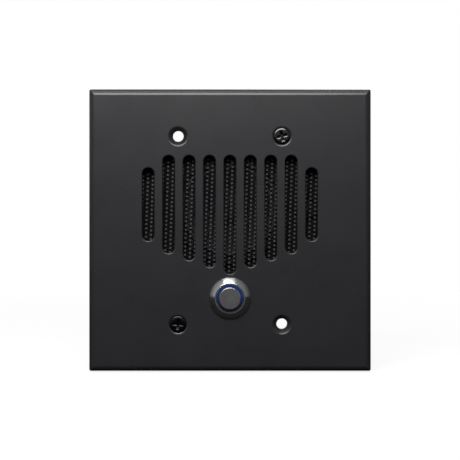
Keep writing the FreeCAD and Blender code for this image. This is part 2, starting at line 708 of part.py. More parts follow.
def mounting_screws():
    (_, _), (right, top), (left, low), (_, _) = HOLE_PLACES
    return [mounting_screw(right, top, RECESS_TURN_RIGHT), mounting_screw(left, low, RECESS_TURN_LEFT)]


def screw_retainers():
    washers = []
    for x, z in (HOLE_PLACES[1], HOLE_PLACES[2]):
        inner = SCREW_NECK + 2 * RETAINER_CLEARANCE
        washers.append(ring(RETAINER_DIAMETER, inner, WEB_Y, WEB_Y + RETAINER_THICKNESS, x, z))
    return washers


# The bezel, its barrel and the guide web inside are one turned piece
def switch_body():
    r_foot, r_top = BEZEL_DIAMETER / 2, BEZEL_TOP_DIAMETER / 2
    barrel, pocket = BARREL_DIAMETER / 2, LENS_POCKET_DIAMETER / 2
    bore, guide, socket = SPRING_BORE_DIAMETER / 2, GUIDE_BORE_DIAMETER / 2, BASE_SOCKET_DIAMETER / 2
    body = turned((
        (r_top, BEZEL_Y), (r_foot, FACE_Y - BEZEL_FOOT), (r_foot, FACE_Y), (barrel, FACE_Y),
        (barrel, BARREL_BEHIND), (socket, BARREL_BEHIND), (socket, GUIDE_BACK_Y), (guide, GUIDE_BACK_Y),
        (guide, GUIDE_FRONT_Y), (bore, GUIDE_FRONT_Y), (bore, LIGHT_BOARD_BACK_Y), (pocket, LIGHT_BOARD_BACK_Y),
        (pocket, BEZEL_Y)), 0, BUTTON_Z)
    groove_in = BARREL_DIAMETER + 2 * SEAL_GROOVE_GAP
    groove_out = groove_in + 2 * SEAL_GROOVE_WIDTH
    body = body.cut(ring(groove_out, groove_in, FACE_Y - SEAL_GROOVE_DEPTH, FACE_Y, 0, BUTTON_Z))
    for side in (-1, 1):
        z = BUTTON_Z + side * PIN_CIRCLE_RADIUS
        body = body.cut(bar(PIN_CHANNEL_DIAMETER, LIGHT_BOARD_Y, GUIDE_BACK_Y + 1, 0, z))
    return body


def bezel_seal():
    inner = BARREL_DIAMETER + 2 * SEAL_GROOVE_GAP
    return ring(inner + 2 * SEAL_GROOVE_WIDTH, inner, FACE_Y - SEAL_GROOVE_DEPTH, FACE_Y, 0, BUTTON_Z)


def light_ring():
    return ring(RING_DIAMETER, RING_BORE_DIAMETER, RING_Y, RING_Y + RING_THICKNESS, 0, BUTTON_Z)


def light_board():
    return ring(RING_DIAMETER, LIGHT_BOARD_BORE, LIGHT_BOARD_Y, LIGHT_BOARD_BACK_Y, 0, BUTTON_Z)


def light_chips():
    radius = (RING_DIAMETER + LIGHT_BOARD_BORE) / 4
    chips = []
    for index in range(CHIP_COUNT):
        chip = block(-CHIP_LENGTH / 2, CHIP_LENGTH / 2, LIGHT_BOARD_Y - CHIP_HEIGHT, LIGHT_BOARD_Y,
                     radius - CHIP_WIDTH / 2, radius + CHIP_WIDTH / 2)
        chip.rotate(at(0, 0, 0), INTO_WALL, 45 + 360 / CHIP_COUNT * index)
        chip.translate(at(0, 0, BUTTON_Z))
        chips.append(chip)
    return chips


def light_pins():
    pins = []
    for side in (-1, 1):
        z = BUTTON_Z + side * PIN_CIRCLE_RADIUS
        rod = bar(PIN_DIAMETER, LIGHT_BOARD_BACK_Y, BASE_BACK_Y, 0, z)
        tab = block(-TAB_WIDTH / 2, TAB_WIDTH / 2, BASE_BACK_Y, TAB_END_Y,
                    z - TAB_THICKNESS / 2, z + TAB_THICKNESS / 2)
        pins.append(rod.fuse(tab))
    return pins


def button_cap():
    r = CAP_DIAMETER / 2
    socket = CAP_SOCKET_DIAMETER / 2
    socket_y = PLUNGER_FLANGE_Y - CAP_SOCKET_DEPTH
    return turned(((0, CAP_Y), (r - CAP_CHAMFER, CAP_Y), (r, CAP_Y + CAP_CHAMFER), (r, PLUNGER_FLANGE_Y),
                   (socket, PLUNGER_FLANGE_Y), (socket, socket_y), (0, socket_y)), 0, BUTTON_Z)


def button_plunger():
    spigot = CAP_SOCKET_DIAMETER / 2 - THREAD_FIT
    flange = PLUNGER_FLANGE_DIAMETER / 2
    stem = GUIDE_BORE_DIAMETER / 2 - STEM_CLEARANCE
    groove = CLIP_GROOVE_DIAMETER / 2
    clip_y = GUIDE_BACK_Y + CLIP_GAP
    stub = STUB_DIAMETER / 2
    top_y = PLUNGER_FLANGE_Y - CAP_SOCKET_DEPTH + THREAD_FIT
    return turned(((0, top_y), (spigot, top_y), (spigot, PLUNGER_FLANGE_Y), (flange, PLUNGER_FLANGE_Y),
                   (flange, SPRING_SEAT_Y), (stem, SPRING_SEAT_Y), (stem, clip_y), (groove, clip_y),
                   (groove, clip_y + CLIP_THICKNESS), (stem, clip_y + CLIP_THICKNESS), (stem, STEM_END_Y),
                   (stub, STEM_END_Y), (stub, BRIDGE_BACK_Y + STUB_LENGTH), (0, BRIDGE_BACK_Y + STUB_LENGTH)),
                  0, BUTTON_Z)


# The clip stops the plunger at the guide web, and its mouth lets it snap into the groove
def retaining_clip():
    clip_y = GUIDE_BACK_Y + CLIP_GAP
    bore = CLIP_GROOVE_DIAMETER + 2 * THREAD_FIT
    clip = ring(CLIP_DIAMETER, bore, clip_y, clip_y + CLIP_THICKNESS, 0, BUTTON_Z)
    return clip.cut(block(-CLIP_MOUTH / 2, CLIP_MOUTH / 2, clip_y - 1, clip_y + 1,
                          BUTTON_Z - CLIP_DIAMETER, BUTTON_Z))


def return_spring():
    y0 = SPRING_SEAT_Y + SPRING_WIRE / 2 + SPRING_END_GAP
    y1 = GUIDE_FRONT_Y - SPRING_WIRE / 2 - SPRING_END_GAP
    wire, start, heading, pitch = spring_wire(SPRING_MEAN_DIAMETER / 2, SPRING_TURNS, y0, y1, BUTTON_Z)
    print(f"return spring: least gap between turns {pitch - SPRING_WIRE:.2f}")
    return swept(wire, start, heading, SPRING_WIRE)


def moving_contact():
    bridge = block(-BRIDGE_LENGTH / 2, BRIDGE_LENGTH / 2, STEM_END_Y, BRIDGE_BACK_Y,
                   BUTTON_Z - BRIDGE_WIDTH / 2, BUTTON_Z + BRIDGE_WIDTH / 2)
    return bridge.cut(bar(STUB_DIAMETER + 2 * THREAD_FIT, STEM_END_Y - 1, BRIDGE_BACK_Y + 1, 0, BUTTON_Z))


def contact_tabs():
    tabs = []
    for x in (-CONTACT_X, CONTACT_X):
        pad = bar(CONTACT_PAD, CONTACT_FACE_Y, BASE_CAVITY_END_Y, x, BUTTON_Z)
        tab = block(x - TAB_THICKNESS / 2, x + TAB_THICKNESS / 2, BASE_CAVITY_END_Y, TAB_END_Y,
                    BUTTON_Z - TAB_WIDTH / 2, BUTTON_Z + TAB_WIDTH / 2)
        tabs.append(pad.fuse(tab))
    return tabs


def switch_base():
    socket = BASE_SOCKET_DIAMETER / 2 - BASE_FIT
    flange, cavity, c = BASE_FLANGE_DIAMETER / 2, BASE_CAVITY_DIAMETER / 2, BASE_CHAMFER
    base = turned(((cavity, BASE_FRONT_Y), (socket, BASE_FRONT_Y), (socket, BARREL_BEHIND),
                   (flange, BARREL_BEHIND), (flange, BASE_BACK_Y - c), (flange - c, BASE_BACK_Y),
                   (0, BASE_BACK_Y), (0, BASE_CAVITY_END_Y), (cavity, BASE_CAVITY_END_Y)), 0, BUTTON_Z)
    for x in (-CONTACT_X, CONTACT_X):
        base = base.cut(block(x - TAB_THICKNESS / 2 - THREAD_FIT, x + TAB_THICKNESS / 2 + THREAD_FIT,
                              BASE_CAVITY_END_Y - 1, BASE_BACK_Y + 1, BUTTON_Z - TAB_WIDTH / 2 - THREAD_FIT,
                              BUTTON_Z + TAB_WIDTH / 2 + THREAD_FIT))
    for side in (-1, 1):
        z = BUTTON_Z + side * PIN_CIRCLE_RADIUS
        base = base.cut(bar(PIN_CHANNEL_DIAMETER, BASE_FRONT_Y - 1, BASE_BACK_Y + 1, 0, z))
    return base


def lock_washer():
    inner = BARREL_DIAMETER + 4 * THREAD_FIT
    return ring(LOCK_WASHER_DIAMETER, inner, WEB_Y, WEB_Y + LOCK_WASHER_THICKNESS, 0, BUTTON_Z)


def switch_nut():
    y0 = WEB_Y + LOCK_WASHER_THICKNESS
    y1 = y0 + NUT_THICKNESS
    corner = NUT_FLATS / math.sqrt(3)
    flat = NUT_FLATS / 2
    c = NUT_CHAMFER
    crown = turned(((0, y0), (flat, y0), (corner + 0.05, y0 + c), (corner + 0.05, y1 - c), (flat, y1), (0, y1)),
                   0, BUTTON_Z)
    nut = hexagon(NUT_FLATS, y0, y1, 0, BUTTON_Z).common(crown)
    return nut.cut(bar(BARREL_DIAMETER + 2 * THREAD_FIT, y0 - 1, y1 + 1, 0, BUTTON_Z))


def speaker_gasket():
    return ring(SPEAKER_DIAMETER, 2 * GASKET_BORE_RADIUS, SCREEN_Y, SURROUND_Y, 0, SPEAKER_Z)


# Pressed basket: flange, sloping wall with windows, spider ledge and magnet cup
def speaker_frame():
    t = FRAME_SHEET
    rim, mouth, ledge, cup = SPEAKER_DIAMETER / 2, FRAME_MOUTH_RADIUS, FRAME_LEDGE_RADIUS, FRAME_CUP_RADIUS
    hole = MAGNET_GAP_RADIUS + FRAME_HOLE_CLEARANCE
    slope = math.hypot(mouth - ledge, FRAME_LEDGE_DEPTH) - (mouth - ledge)
    wall = t * slope / FRAME_LEDGE_DEPTH
    outline = ((rim, FLANGE_Y), (mouth, FLANGE_Y), (ledge, LEDGE_Y), (cup, LEDGE_Y), (cup, CUP_FLOOR_Y),
               (hole, CUP_FLOOR_Y), (hole, CUP_FLOOR_Y + t), (cup + t, CUP_FLOOR_Y + t), (cup + t, LEDGE_Y + t),
               (ledge + wall, LEDGE_Y + t), (mouth + wall, FLANGE_Y + t), (rim, FLANGE_Y + t))
    frame = turned(outline, 0, SPEAKER_Z)
    half = FRAME_WINDOW_WIDTH / 2
    for index in range(FRAME_WINDOWS):
        window = block(-half, half, FLANGE_Y + FRAME_WINDOW_START, FLANGE_Y + FRAME_WINDOW_END, cup, rim)
        window.rotate(at(0, 0, 0), INTO_WALL, 360 / FRAME_WINDOWS * (index + 0.5))
        window.translate(at(0, 0, SPEAKER_Z))
        frame = frame.cut(window)
    return frame


# A thin skin between two arcs of one roll, with a flat rim each side
def speaker_surround():
    t = SURROUND_SHEET
    y0, y1 = SURROUND_Y, FLANGE_Y
    inner, outer, rim = ROLL_INNER_RADIUS, ROLL_OUTER_RADIUS, SPEAKER_DIAMETER / 2
    middle = (inner + outer) / 2
    lip = CONE_LIP_INNER + CONE_LIP_BARE

    def point(r, y):
        return at(r, y, SPEAKER_Z)

    edges = [
        Part.LineSegment(point(lip, y0), point(inner, y0)).toShape(),
        Part.Arc(point(inner, y0), point(middle, y0 - ROLL_HEIGHT), point(outer, y0)).toShape(),
        Part.LineSegment(point(outer, y0), point(rim, y0)).toShape(),
        Part.LineSegment(point(rim, y0), point(rim, y1)).toShape(),
        Part.LineSegment(point(rim, y1), point(outer - t, y1)).toShape(),
        Part.Arc(point(outer - t, y1), point(middle, y0 - ROLL_HEIGHT + t), point(inner + t, y1)).toShape(),
        Part.LineSegment(point(inner + t, y1), point(lip, y1)).toShape(),
        Part.LineSegment(point(lip, y1), point(lip, y0)).toShape(),
    ]
    return Part.Face(Part.Wire(edges)).revolve(at(0, 0, SPEAKER_Z), INTO_WALL, 360)


# The cone flares from the coil former to a flat lip under the surround
def speaker_cone():
    t = CONE_SHEET
    y0 = FLANGE_Y + CONE_GLUE_GAP
    neck = FORMER_RADIUS + FORMER_SHEET

    def point(r, y):
        return at(r, y, SPEAKER_Z)

    lip_out, lip_in = point(CONE_LIP_OUTER, y0), point(CONE_LIP_INNER, y0)
    mid = point(CONE_MID_RADIUS, FLANGE_Y + CONE_MID_DEPTH)
    foot = point(neck, FLANGE_Y + CONE_DEPTH)
    down = at(0, t, 0)
    edges = [
        Part.LineSegment(lip_out, lip_in).toShape(),
        Part.Arc(lip_in, mid, foot).toShape(),
        Part.LineSegment(foot, foot + down).toShape(),
        Part.Arc(foot + down, mid + down, lip_in + down).toShape(),
        Part.LineSegment(lip_in + down, lip_out + down).toShape(),
        Part.LineSegment(lip_out + down, lip_out).toShape(),
    ]
    return Part.Face(Part.Wire(edges)).revolve(at(0, 0, SPEAKER_Z), INTO_WALL, 360)


def dust_cap():
    rim_y = FLANGE_Y + DUST_CAP_RIM_DEPTH
    radius = (DUST_CAP_RADIUS ** 2 + DUST_CAP_RISE ** 2) / (2 * DUST_CAP_RISE)
    centre = at(0, rim_y - DUST_CAP_RISE + radius, SPEAKER_Z)
    shell = Part.makeSphere(radius, centre).cut(Part.makeSphere(radius - DUST_CAP_SHEET, centre))
    return shell.common(bar(4 * DUST_CAP_RADIUS, rim_y - 2 * DUST_CAP_RISE, rim_y, 0, SPEAKER_Z))


def coil_former():
    inner = 2 * FORMER_RADIUS
    return ring(inner + 2 * FORMER_SHEET, inner, FLANGE_Y + FORMER_START, FLANGE_Y + FORMER_END, 0, SPEAKER_Z)


def coil_winding():
    inner = 2 * (FORMER_RADIUS + FORMER_SHEET)
    middle = TOP_PLATE_Y + TOP_PLATE_THICKNESS / 2
    half = WINDING_LENGTH / 2
    return ring(inner + 2 * WINDING_THICKNESS, inner, middle - half, middle + half, 0, SPEAKER_Z)


# Corrugated cloth disc: half waves between the former and its seat on the ledge
def speaker_spider():
    t = SPIDER_SHEET
    y = LEDGE_Y - t
    inner = FORMER_RADIUS + FORMER_SHEET + SPIDER_GAP
    steps = 2 * SPIDER_WAVES
    front = []
    for index in range(steps + 1):
        r = inner + (SPIDER_SEAT - inner) * index / steps
        front.append((r, y - (SPIDER_WAVE_HEIGHT if index % 2 else 0.0)))
    front.append((SPIDER_OUTER, y))
    back = [(r, fy + t) for r, fy in reversed(front)]
    return turned(front + back, 0, SPEAKER_Z)


def top_plate():
    return ring(2 * TOP_PLATE_RADIUS, 2 * MAGNET_GAP_RADIUS, TOP_PLATE_Y, MAGNET_Y, 0, SPEAKER_Z)


def ring_magnet():
    return ring(2 * MAGNET_RADIUS, 2 * MAGNET_BORE_RADIUS, MAGNET_Y, BACK_PLATE_Y, 0, SPEAKER_Z)


def back_plate():
    c = BACK_PLATE_CHAMFER
    end = BACK_PLATE_END_Y
    r = TOP_PLATE_RADIUS
    return turned(((0, TOP_PLATE_Y), (POLE_RADIUS, TOP_PLATE_Y), (POLE_RADIUS, BACK_PLATE_Y), (r, BACK_PLATE_Y),
                   (r, end - c), (r - c, end), (0, end)), 0, SPEAKER_Z)


# The tag board is riveted to the ledge, on the left
def tag_board():
    return block(TAG_BOARD_X - TAG_BOARD_LENGTH, TAG_BOARD_X, TAG_BOARD_Y, TAG_BOARD_Y + TAG_BOARD_THICKNESS,
                 SPEAKER_Z - TAG_BOARD_HEIGHT / 2, SPEAKER_Z + TAG_BOARD_HEIGHT / 2)


def speaker_tags():
    y0 = TAG_BOARD_Y + TAG_BOARD_THICKNESS
    half = TAG_WIDTH / 2
    places = [SPEAKER_Z + side * TAG_SPACING / 2 for side in (-1, 1)]
    return [block(TAG_X - TAG_LENGTH, TAG_X, y0, y0 + TAG_THICKNESS, z - half, z + half) for z in places]


# Rubber boot: a cup for the capsule, with a groove that the bracket's edge snaps into
def microphone_boot():
    r = CAPSULE_DIAMETER / 2 + BOOT_WALL
    groove = r - BOOT_GROOVE_DEPTH
    bore, lip = CAPSULE_DIAMETER / 2, BOOT_LIP_BORE / 2
    end = SCREEN_Y + BOOT_LENGTH
    return turned(((lip, SCREEN_Y), (r, SCREEN_Y), (r, BRACKET_Y), (groove, BRACKET_Y),
                   (groove, BRACKET_BACK_Y), (r, BRACKET_BACK_Y), (r, end), (bore, end),
                   (bore, CAPSULE_Y), (lip, CAPSULE_Y)), MIC_X, MIC_Z)


def microphone_capsule():
    r = CAPSULE_DIAMETER / 2 - CAPSULE_FIT
    c = CAPSULE_CHAMFER
    end = CAPSULE_Y + CAPSULE_LENGTH
    return turned(((0, CAPSULE_Y), (r - c, CAPSULE_Y), (r, CAPSULE_Y + c), (r, end), (0, end)), MIC_X, MIC_Z)


def housing_inside(clearance):
    x = HOUSING_X - HOUSING_WALL - clearance
    return -x, x, HOUSING_LOW_Z + HOUSING_WALL + clearance, HOUSING_TOP_Z - HOUSING_WALL - clearance


# Steel bracket that clamps the speaker to the screen, with its top and bottom edges folded back
def speaker_bracket():
    x0, x1, z0, z1 = housing_inside(BRACKET_CLEARANCE)
    t = BRACKET_SHEET
    plate = slab(x0, x1, z0, z1, t, BRACKET_Y, BRACKET_BACK_Y)
    side = 2 * POST_BOSS_DIAMETER
    for low, high in ((z0, z0 + t), (z1 - t, z1)):
        plate = plate.fuse(block(x0 + side, x1 - side, BRACKET_Y, BRACKET_BACK_Y + BRACKET_FOLD, low, high))
    plate = plate.cut(bar(2 * BRACKET_OPENING_RADIUS, BRACKET_Y - 1, BRACKET_BACK_Y + 1, 0, SPEAKER_Z))
    boot = CAPSULE_DIAMETER + 2 * BOOT_WALL - 2 * BOOT_GROOVE_DEPTH + 2 * THREAD_FIT
    plate = plate.cut(bar(boot, BRACKET_Y - 1, BRACKET_BACK_Y + 1, MIC_X, MIC_Z))
    for x, z in POST_PLACES:
        plate = plate.cut(bar(COVER_SCREW_HOLE, BRACKET_Y - 1, BRACKET_BACK_Y + 1, x, z))
    return plate.removeSplitter()


def standoffs(y0, y1):
    posts = []
    tap = POST_THREAD + 2 * THREAD_FIT
    for x, z in POST_PLACES:
        post = hexagon(POST_FLATS, y0, y1, x, z).fuse(bar(POST_THREAD, y0 - POST_STUD, y0, x, z))
        posts.append(post.cut(bar(tap, y1 - POST_TAP_DEPTH, y1 + 1, x, z)))
    return posts


def circuit_board():
    x0, x1, z0, z1 = housing_inside(BOARD_CLEARANCE)
    board = slab(x0, x1, z0, z1, BOARD_CORNER, BOARD_Y, BOARD_BACK_Y)
    for x, z in POST_PLACES:
        board = board.cut(bar(COVER_SCREW_HOLE, BOARD_Y - 1, BOARD_BACK_Y + 1, x, z))
    return board


# Amplifier chip: a moulded package with four bent legs on each side
def amplifier_chip():
    wide, high, tall = CHIP_PACKAGE
    cx, cz = CHIP_CENTRE
    y0 = BOARD_BACK_Y + CHIP_STANDOFF
    chip = block(cx - wide / 2, cx + wide / 2, y0, y0 + high, cz - tall / 2, cz + tall / 2)
    for side in (-1, 1):
        for index in range(LEGS_PER_SIDE):
            x = cx + (index - (LEGS_PER_SIDE - 1) / 2) * LEG_PITCH
            edge = cz + side * tall / 2
            reach = edge + side * LEG_REACH
            low, high_z = min(edge, reach), max(edge, reach)
            middle = y0 + high / 2
            shoulder = block(x - LEG_WIDTH / 2, x + LEG_WIDTH / 2, middle, middle + LEG_THICKNESS, low, high_z)
            tip = reach - side * LEG_THICKNESS
            shank = block(x - LEG_WIDTH / 2, x + LEG_WIDTH / 2, BOARD_BACK_Y, middle + LEG_THICKNESS,
                          min(tip, reach), max(tip, reach))
            chip = chip.fuse(shoulder).fuse(shank)
    return chip.removeSplitter()


def capacitors():
    cans = []
    r, g = CAN_DIAMETER / 2, CAN_GROOVE
    y0, y1 = BOARD_BACK_Y, BOARD_BACK_Y + CAN_HEIGHT
    c, groove = CAN_ROUND, y0 + CAN_GROOVE_START
    for x, z in CAN_PLACES:
        cans.append(turned(((0, y0), (r - c, y0), (r, y0 + c), (r, groove), (r - g, groove + g),
                            (r, groove + 2 * g), (r, y1 - c), (r - c, y1), (0, y1)), x, z))
    return cans


# Axial resistors lie on the board, each on two bent leads
def resistors():
    parts = []
    y = BOARD_BACK_Y + RESISTOR_DIAMETER / 2
    half = RESISTOR_LENGTH / 2
    for index in range(RESISTOR_COUNT):
        x = RESISTOR_FIRST_X + index * RESISTOR_PITCH
        body = Part.makeCylinder(RESISTOR_DIAMETER / 2, RESISTOR_LENGTH, at(x, y, RESISTOR_Z - half),
                                 at(0, 0, 1))
        wire = Part.makeCylinder(RESISTOR_LEAD / 2, RESISTOR_SPAN, at(x, y, RESISTOR_Z - RESISTOR_SPAN / 2),
                                 at(0, 0, 1))
        part = body.fuse(wire)
        for side in (-1, 1):
            z = RESISTOR_Z + side * (RESISTOR_SPAN - RESISTOR_LEAD) / 2
            part = part.fuse(bar(RESISTOR_LEAD, BOARD_BACK_Y, y, x, z))
        parts.append(part)
    return parts


def volume_trimmer():
    half = TRIMMER_SIDE / 2
    y1 = BOARD_BACK_Y + TRIMMER_HEIGHT
    body = slab(TRIMMER_X - half, TRIMMER_X + half, TRIMMER_Z - half, TRIMMER_Z + half,
                TRIMMER_CORNER, BOARD_BACK_Y, y1)
    well = ROTOR_DIAMETER + 2 * ROTOR_CLEARANCE
    return body.cut(bar(well, y1 - ROTOR_SINK - ROTOR_CLEARANCE, y1 + 1, TRIMMER_X, TRIMMER_Z))


def trimmer_rotor():
    y1 = BOARD_BACK_Y + TRIMMER_HEIGHT
    top = y1 + ROTOR_PROUD
    rotor = bar(ROTOR_DIAMETER, y1 - ROTOR_SINK, top, TRIMMER_X, TRIMMER_Z)
    for angle in (0, 90):
        cut = block(-ROTOR_SLOT / 2, ROTOR_SLOT / 2, top - ROTOR_SLOT_DEPTH, top + 1,
                    -ROTOR_SLOT_LENGTH / 2, ROTOR_SLOT_LENGTH / 2)
        cut.rotate(at(0, 0, 0), INTO_WALL, angle)
        cut.translate(at(TRIMMER_X, 0, TRIMMER_Z))
        rotor = rotor.cut(cut)
    return rotor


def block_ways():
    return [BLOCK_LEFT_X + (index + 0.5) * BLOCK_PITCH for index in range(BLOCK_WAYS)]


# Terminal block: wires enter from below, and its screws are reached from behind
def terminal_block():
    y1 = BOARD_BACK_Y + BLOCK_HEIGHT
    z0, z1 = BLOCK_LOW_Z, BLOCK_LOW_Z + BLOCK_DEPTH
    body = block(BLOCK_LEFT_X, BLOCK_LEFT_X + BLOCK_LENGTH, BOARD_BACK_Y, y1, z0, z1)
    corner = at(BLOCK_LEFT_X, y1, z0)
    slope = Part.makePolygon([corner, corner + at(0, 0, BLOCK_SLOPE_RUN),
                              corner - at(0, BLOCK_SLOPE_HEIGHT, 0), corner])
    body = body.cut(Part.Face(slope).extrude(at(BLOCK_LENGTH, 0, 0)))
    middle = (z0 + z1) / 2
    for x in block_ways():
        body = body.cut(bar(BLOCK_SCREW_HOLE, y1 - BLOCK_SCREW_SINK - BLOCK_SCREW_LENGTH, y1 + 1, x, middle))
        floor = BOARD_BACK_Y + BLOCK_MOUTH_LIFT
        body = body.cut(block(x - BLOCK_MOUTH_WIDTH / 2, x + BLOCK_MOUTH_WIDTH / 2, floor,
                              floor + BLOCK_MOUTH_HEIGHT, z0 - 1, z0 + BLOCK_MOUTH_DEPTH))
    return body


def terminal_screws():
    y1 = BOARD_BACK_Y + BLOCK_HEIGHT - BLOCK_SCREW_SINK
    z = BLOCK_LOW_Z + BLOCK_DEPTH / 2
    screws = []
    for x in block_ways():
        screw = bar(BLOCK_SCREW, y1 - BLOCK_SCREW_LENGTH, y1, x, z)
        screws.append(screw.cut(block(x - BLOCK_SCREW, x + BLOCK_SCREW, y1 - BLOCK_SCREW_SLOT_DEPTH, y1 + 1,
                                      z - BLOCK_SCREW_SLOT / 2, z + BLOCK_SCREW_SLOT / 2)))
    return screws


def wire_clamps():
    cages = []
    floor = BOARD_BACK_Y + BLOCK_MOUTH_LIFT + CLAMP_INSET
    high = BLOCK_MOUTH_HEIGHT - 2 * CLAMP_INSET
    half = BLOCK_MOUTH_WIDTH / 2 - CLAMP_INSET
    z0 = BLOCK_LOW_Z + CLAMP_SET_BACK
    z1 = BLOCK_LOW_Z + BLOCK_MOUTH_DEPTH - CLAMP_INSET
    w = CLAMP_WALL
    for x in block_ways():
        cage = block(x - half, x + half, floor, floor + high, z0, z1)
        cages.append(cage.cut(block(x - half + w, x + half - w, floor + w, floor + high - w, z0 - 1, z1 + 1)))
    return cages


def housing_seal():
    x0, x1, z0, z1 = -HOUSING_X, HOUSING_X, HOUSING_LOW_Z, HOUSING_TOP_Z
    outer = slab(x0, x1, z0, z1, HOUSING_CORNER, SCREEN_Y, HOUSING_RIM_Y)
    w = HOUSING_WALL
    inner = slab(x0 + w, x1 - w, z0 + w, z1 - w, HOUSING_CORNER - w, SCREEN_Y - 1, HOUSING_RIM_Y + 1)
    return outer.cut(inner)


# Moulded shell: open at the front, with a window for the terminal block and holes for trimmer and leads
def rear_housing():
    x0, x1, z0, z1 = -HOUSING_X, HOUSING_X, HOUSING_LOW_Z, HOUSING_TOP_Z
    w = HOUSING_WALL
    shell = slab(x0, x1, z0, z1, HOUSING_CORNER, HOUSING_RIM_Y, HOUSING_BACK_Y)
    back = [e for e in shell.Edges if all(abs(v.Point.y - HOUSING_BACK_Y) < 1e-6 for v in e.Vertexes)]
    shell = shell.makeFillet(HOUSING_BACK_ROUND, back)
    shell = shell.cut(slab(x0 + w, x1 - w, z0 + w, z1 - w, HOUSING_CORNER - w,
                           HOUSING_RIM_Y - 1, HOUSING_WALL_Y))
    c = WINDOW_CLEARANCE
    shell = shell.cut(block(BLOCK_LEFT_X - c, BLOCK_LEFT_X + BLOCK_LENGTH + c, BOARD_BACK_Y + c,
                            HOUSING_BACK_Y + 1, z0 - 1, BLOCK_LOW_Z + BLOCK_DEPTH + c))
    shell = shell.cut(bar(TRIMMER_ACCESS, HOUSING_WALL_Y - 1, HOUSING_BACK_Y + 1, TRIMMER_X, TRIMMER_Z))
    shell = shell.cut(Part.makeCylinder(GROMMET_HOLE / 2, 2 * w, at(0, GROMMET_Y, z0 - w / 2), at(0, 0, 1)))
    sink = COVER_SCREW_HEAD + 2 * COVER_SINK_CLEARANCE
    for x, z in POST_PLACES:
        shell = shell.cut(bar(COVER_SCREW_HOLE, HOUSING_WALL_Y - 1, HOUSING_BACK_Y + 1, x, z))
        shell = shell.cut(bar(sink, HOUSING_BACK_Y - COVER_SCREW_SINK, HOUSING_BACK_Y + 1, x, z))
    return shell


def housing_screws():
    seat = HOUSING_BACK_Y - COVER_SCREW_SINK
    screws = []
    r = COVER_SCREW_HEAD / 2
    top = seat + COVER_SCREW_HEIGHT
    shank = POST_THREAD / 2
    c = COVER_SCREW_CHAMFER
    for x, z in POST_PLACES:
        end = seat - COVER_SCREW_LENGTH
        screw = turned(((0, end), (shank, end), (shank, seat), (r, seat), (r, top - c), (r - c, top),
                        (0, top)), x, z)
        for angle in (45, 135):
            arm = block(-COVER_RECESS_SLOT / 2, COVER_RECESS_SLOT / 2, top - COVER_RECESS, top + 1,
                        -COVER_RECESS_ARM / 2, COVER_RECESS_ARM / 2)
            arm.rotate(at(0, 0, 0), INTO_WALL, angle)
            arm.translate(at(x, 0, z))
            screw = screw.cut(arm)
        screws.append(screw)
    return screws


def lead_grommet():
    t = GROMMET_FLANGE_THICKNESS
    z0, z1 = HOUSING_LOW_Z, HOUSING_LOW_Z + HOUSING_WALL
    upward = at(0, 0, 1)
    neck = Part.makeCylinder(GROMMET_HOLE / 2 - THREAD_FIT, z1 - z0, at(0, GROMMET_Y, z0), upward)
    inside = Part.makeCylinder(GROMMET_FLANGE / 2, t, at(0, GROMMET_Y, z1), upward)
    outside = Part.makeCylinder(GROMMET_FLANGE / 2, t, at(0, GROMMET_Y, z0 - t), upward)
    bore = Part.makeCylinder(GROMMET_BORE / 2, z1 - z0 + 4 * t, at(0, GROMMET_Y, z0 - 2 * t), upward)
    return neck.fuse(inside).fuse(outside).cut(bore)


# Four leads run from the switch's tabs back and up through the grommet, and forward to the board
def switch_leads():
    s = LEAD_SPREAD
    z = LEAD_LANDING_Z
    leads = []
    for side in (-1, 1):
        leads.append(lead(((side * CONTACT_X, TAB_END_Y, BUTTON_Z), (side * CONTACT_X, GROMMET_Y, BUTTON_Z),
                           (side * s, GROMMET_Y, BUTTON_Z + LEAD_GATHER), (side * s, GROMMET_Y, z),
                           (side * s, BOARD_BACK_Y, z)), f"contact lead {side}"))
        y = GROMMET_Y - side * s
        pin_z = BUTTON_Z + side * PIN_CIRCLE_RADIUS
        landing = z - side * LEAD_LANDING_STEP
        leads.append(lead(((0, TAB_END_Y, pin_z), (0, y, pin_z), (0, y, landing), (0, BOARD_BACK_Y, landing)),
                          f"light lead {side}"))
    return leads


def speaker_leads():
    start_x = TAG_X - TAG_LENGTH + TAG_WIDTH / 2
    end_x = start_x - TAG_LEAD_DRIFT
    y = TAG_BOARD_Y + TAG_BOARD_THICKNESS + TAG_THICKNESS
    leads = []
    for side in (-1, 1):
        z = SPEAKER_Z + side * TAG_SPACING / 2
        end_z = z + side * TAG_LEAD_SPREAD
        leads.append(lead(((start_x, y, z), (start_x, y + TAG_LEAD_RISE, z),
                           (end_x, BOARD_Y - TAG_LEAD_END, end_z), (end_x, BOARD_Y, end_z)),
                          f"speaker lead {side}"))
    return leads


def microphone_leads():
    leads = []
    y = CAPSULE_Y + CAPSULE_LENGTH
    for side in (-1, 1):
        x = MIC_X + side * CAPSULE_LEAD_SPACING / 2
        end_x = x + side * CAPSULE_LEAD_SPREAD
        end_z = MIC_Z + CAPSULE_LEAD_LIFT
        leads.append(lead(((x, y, MIC_Z), (x, y + CAPSULE_LEAD_RISE, MIC_Z),
                           (end_x, BOARD_Y - CAPSULE_LEAD_END, end_z), (end_x, BOARD_Y, end_z)),
                          f"microphone lead {side}"))
    return leads


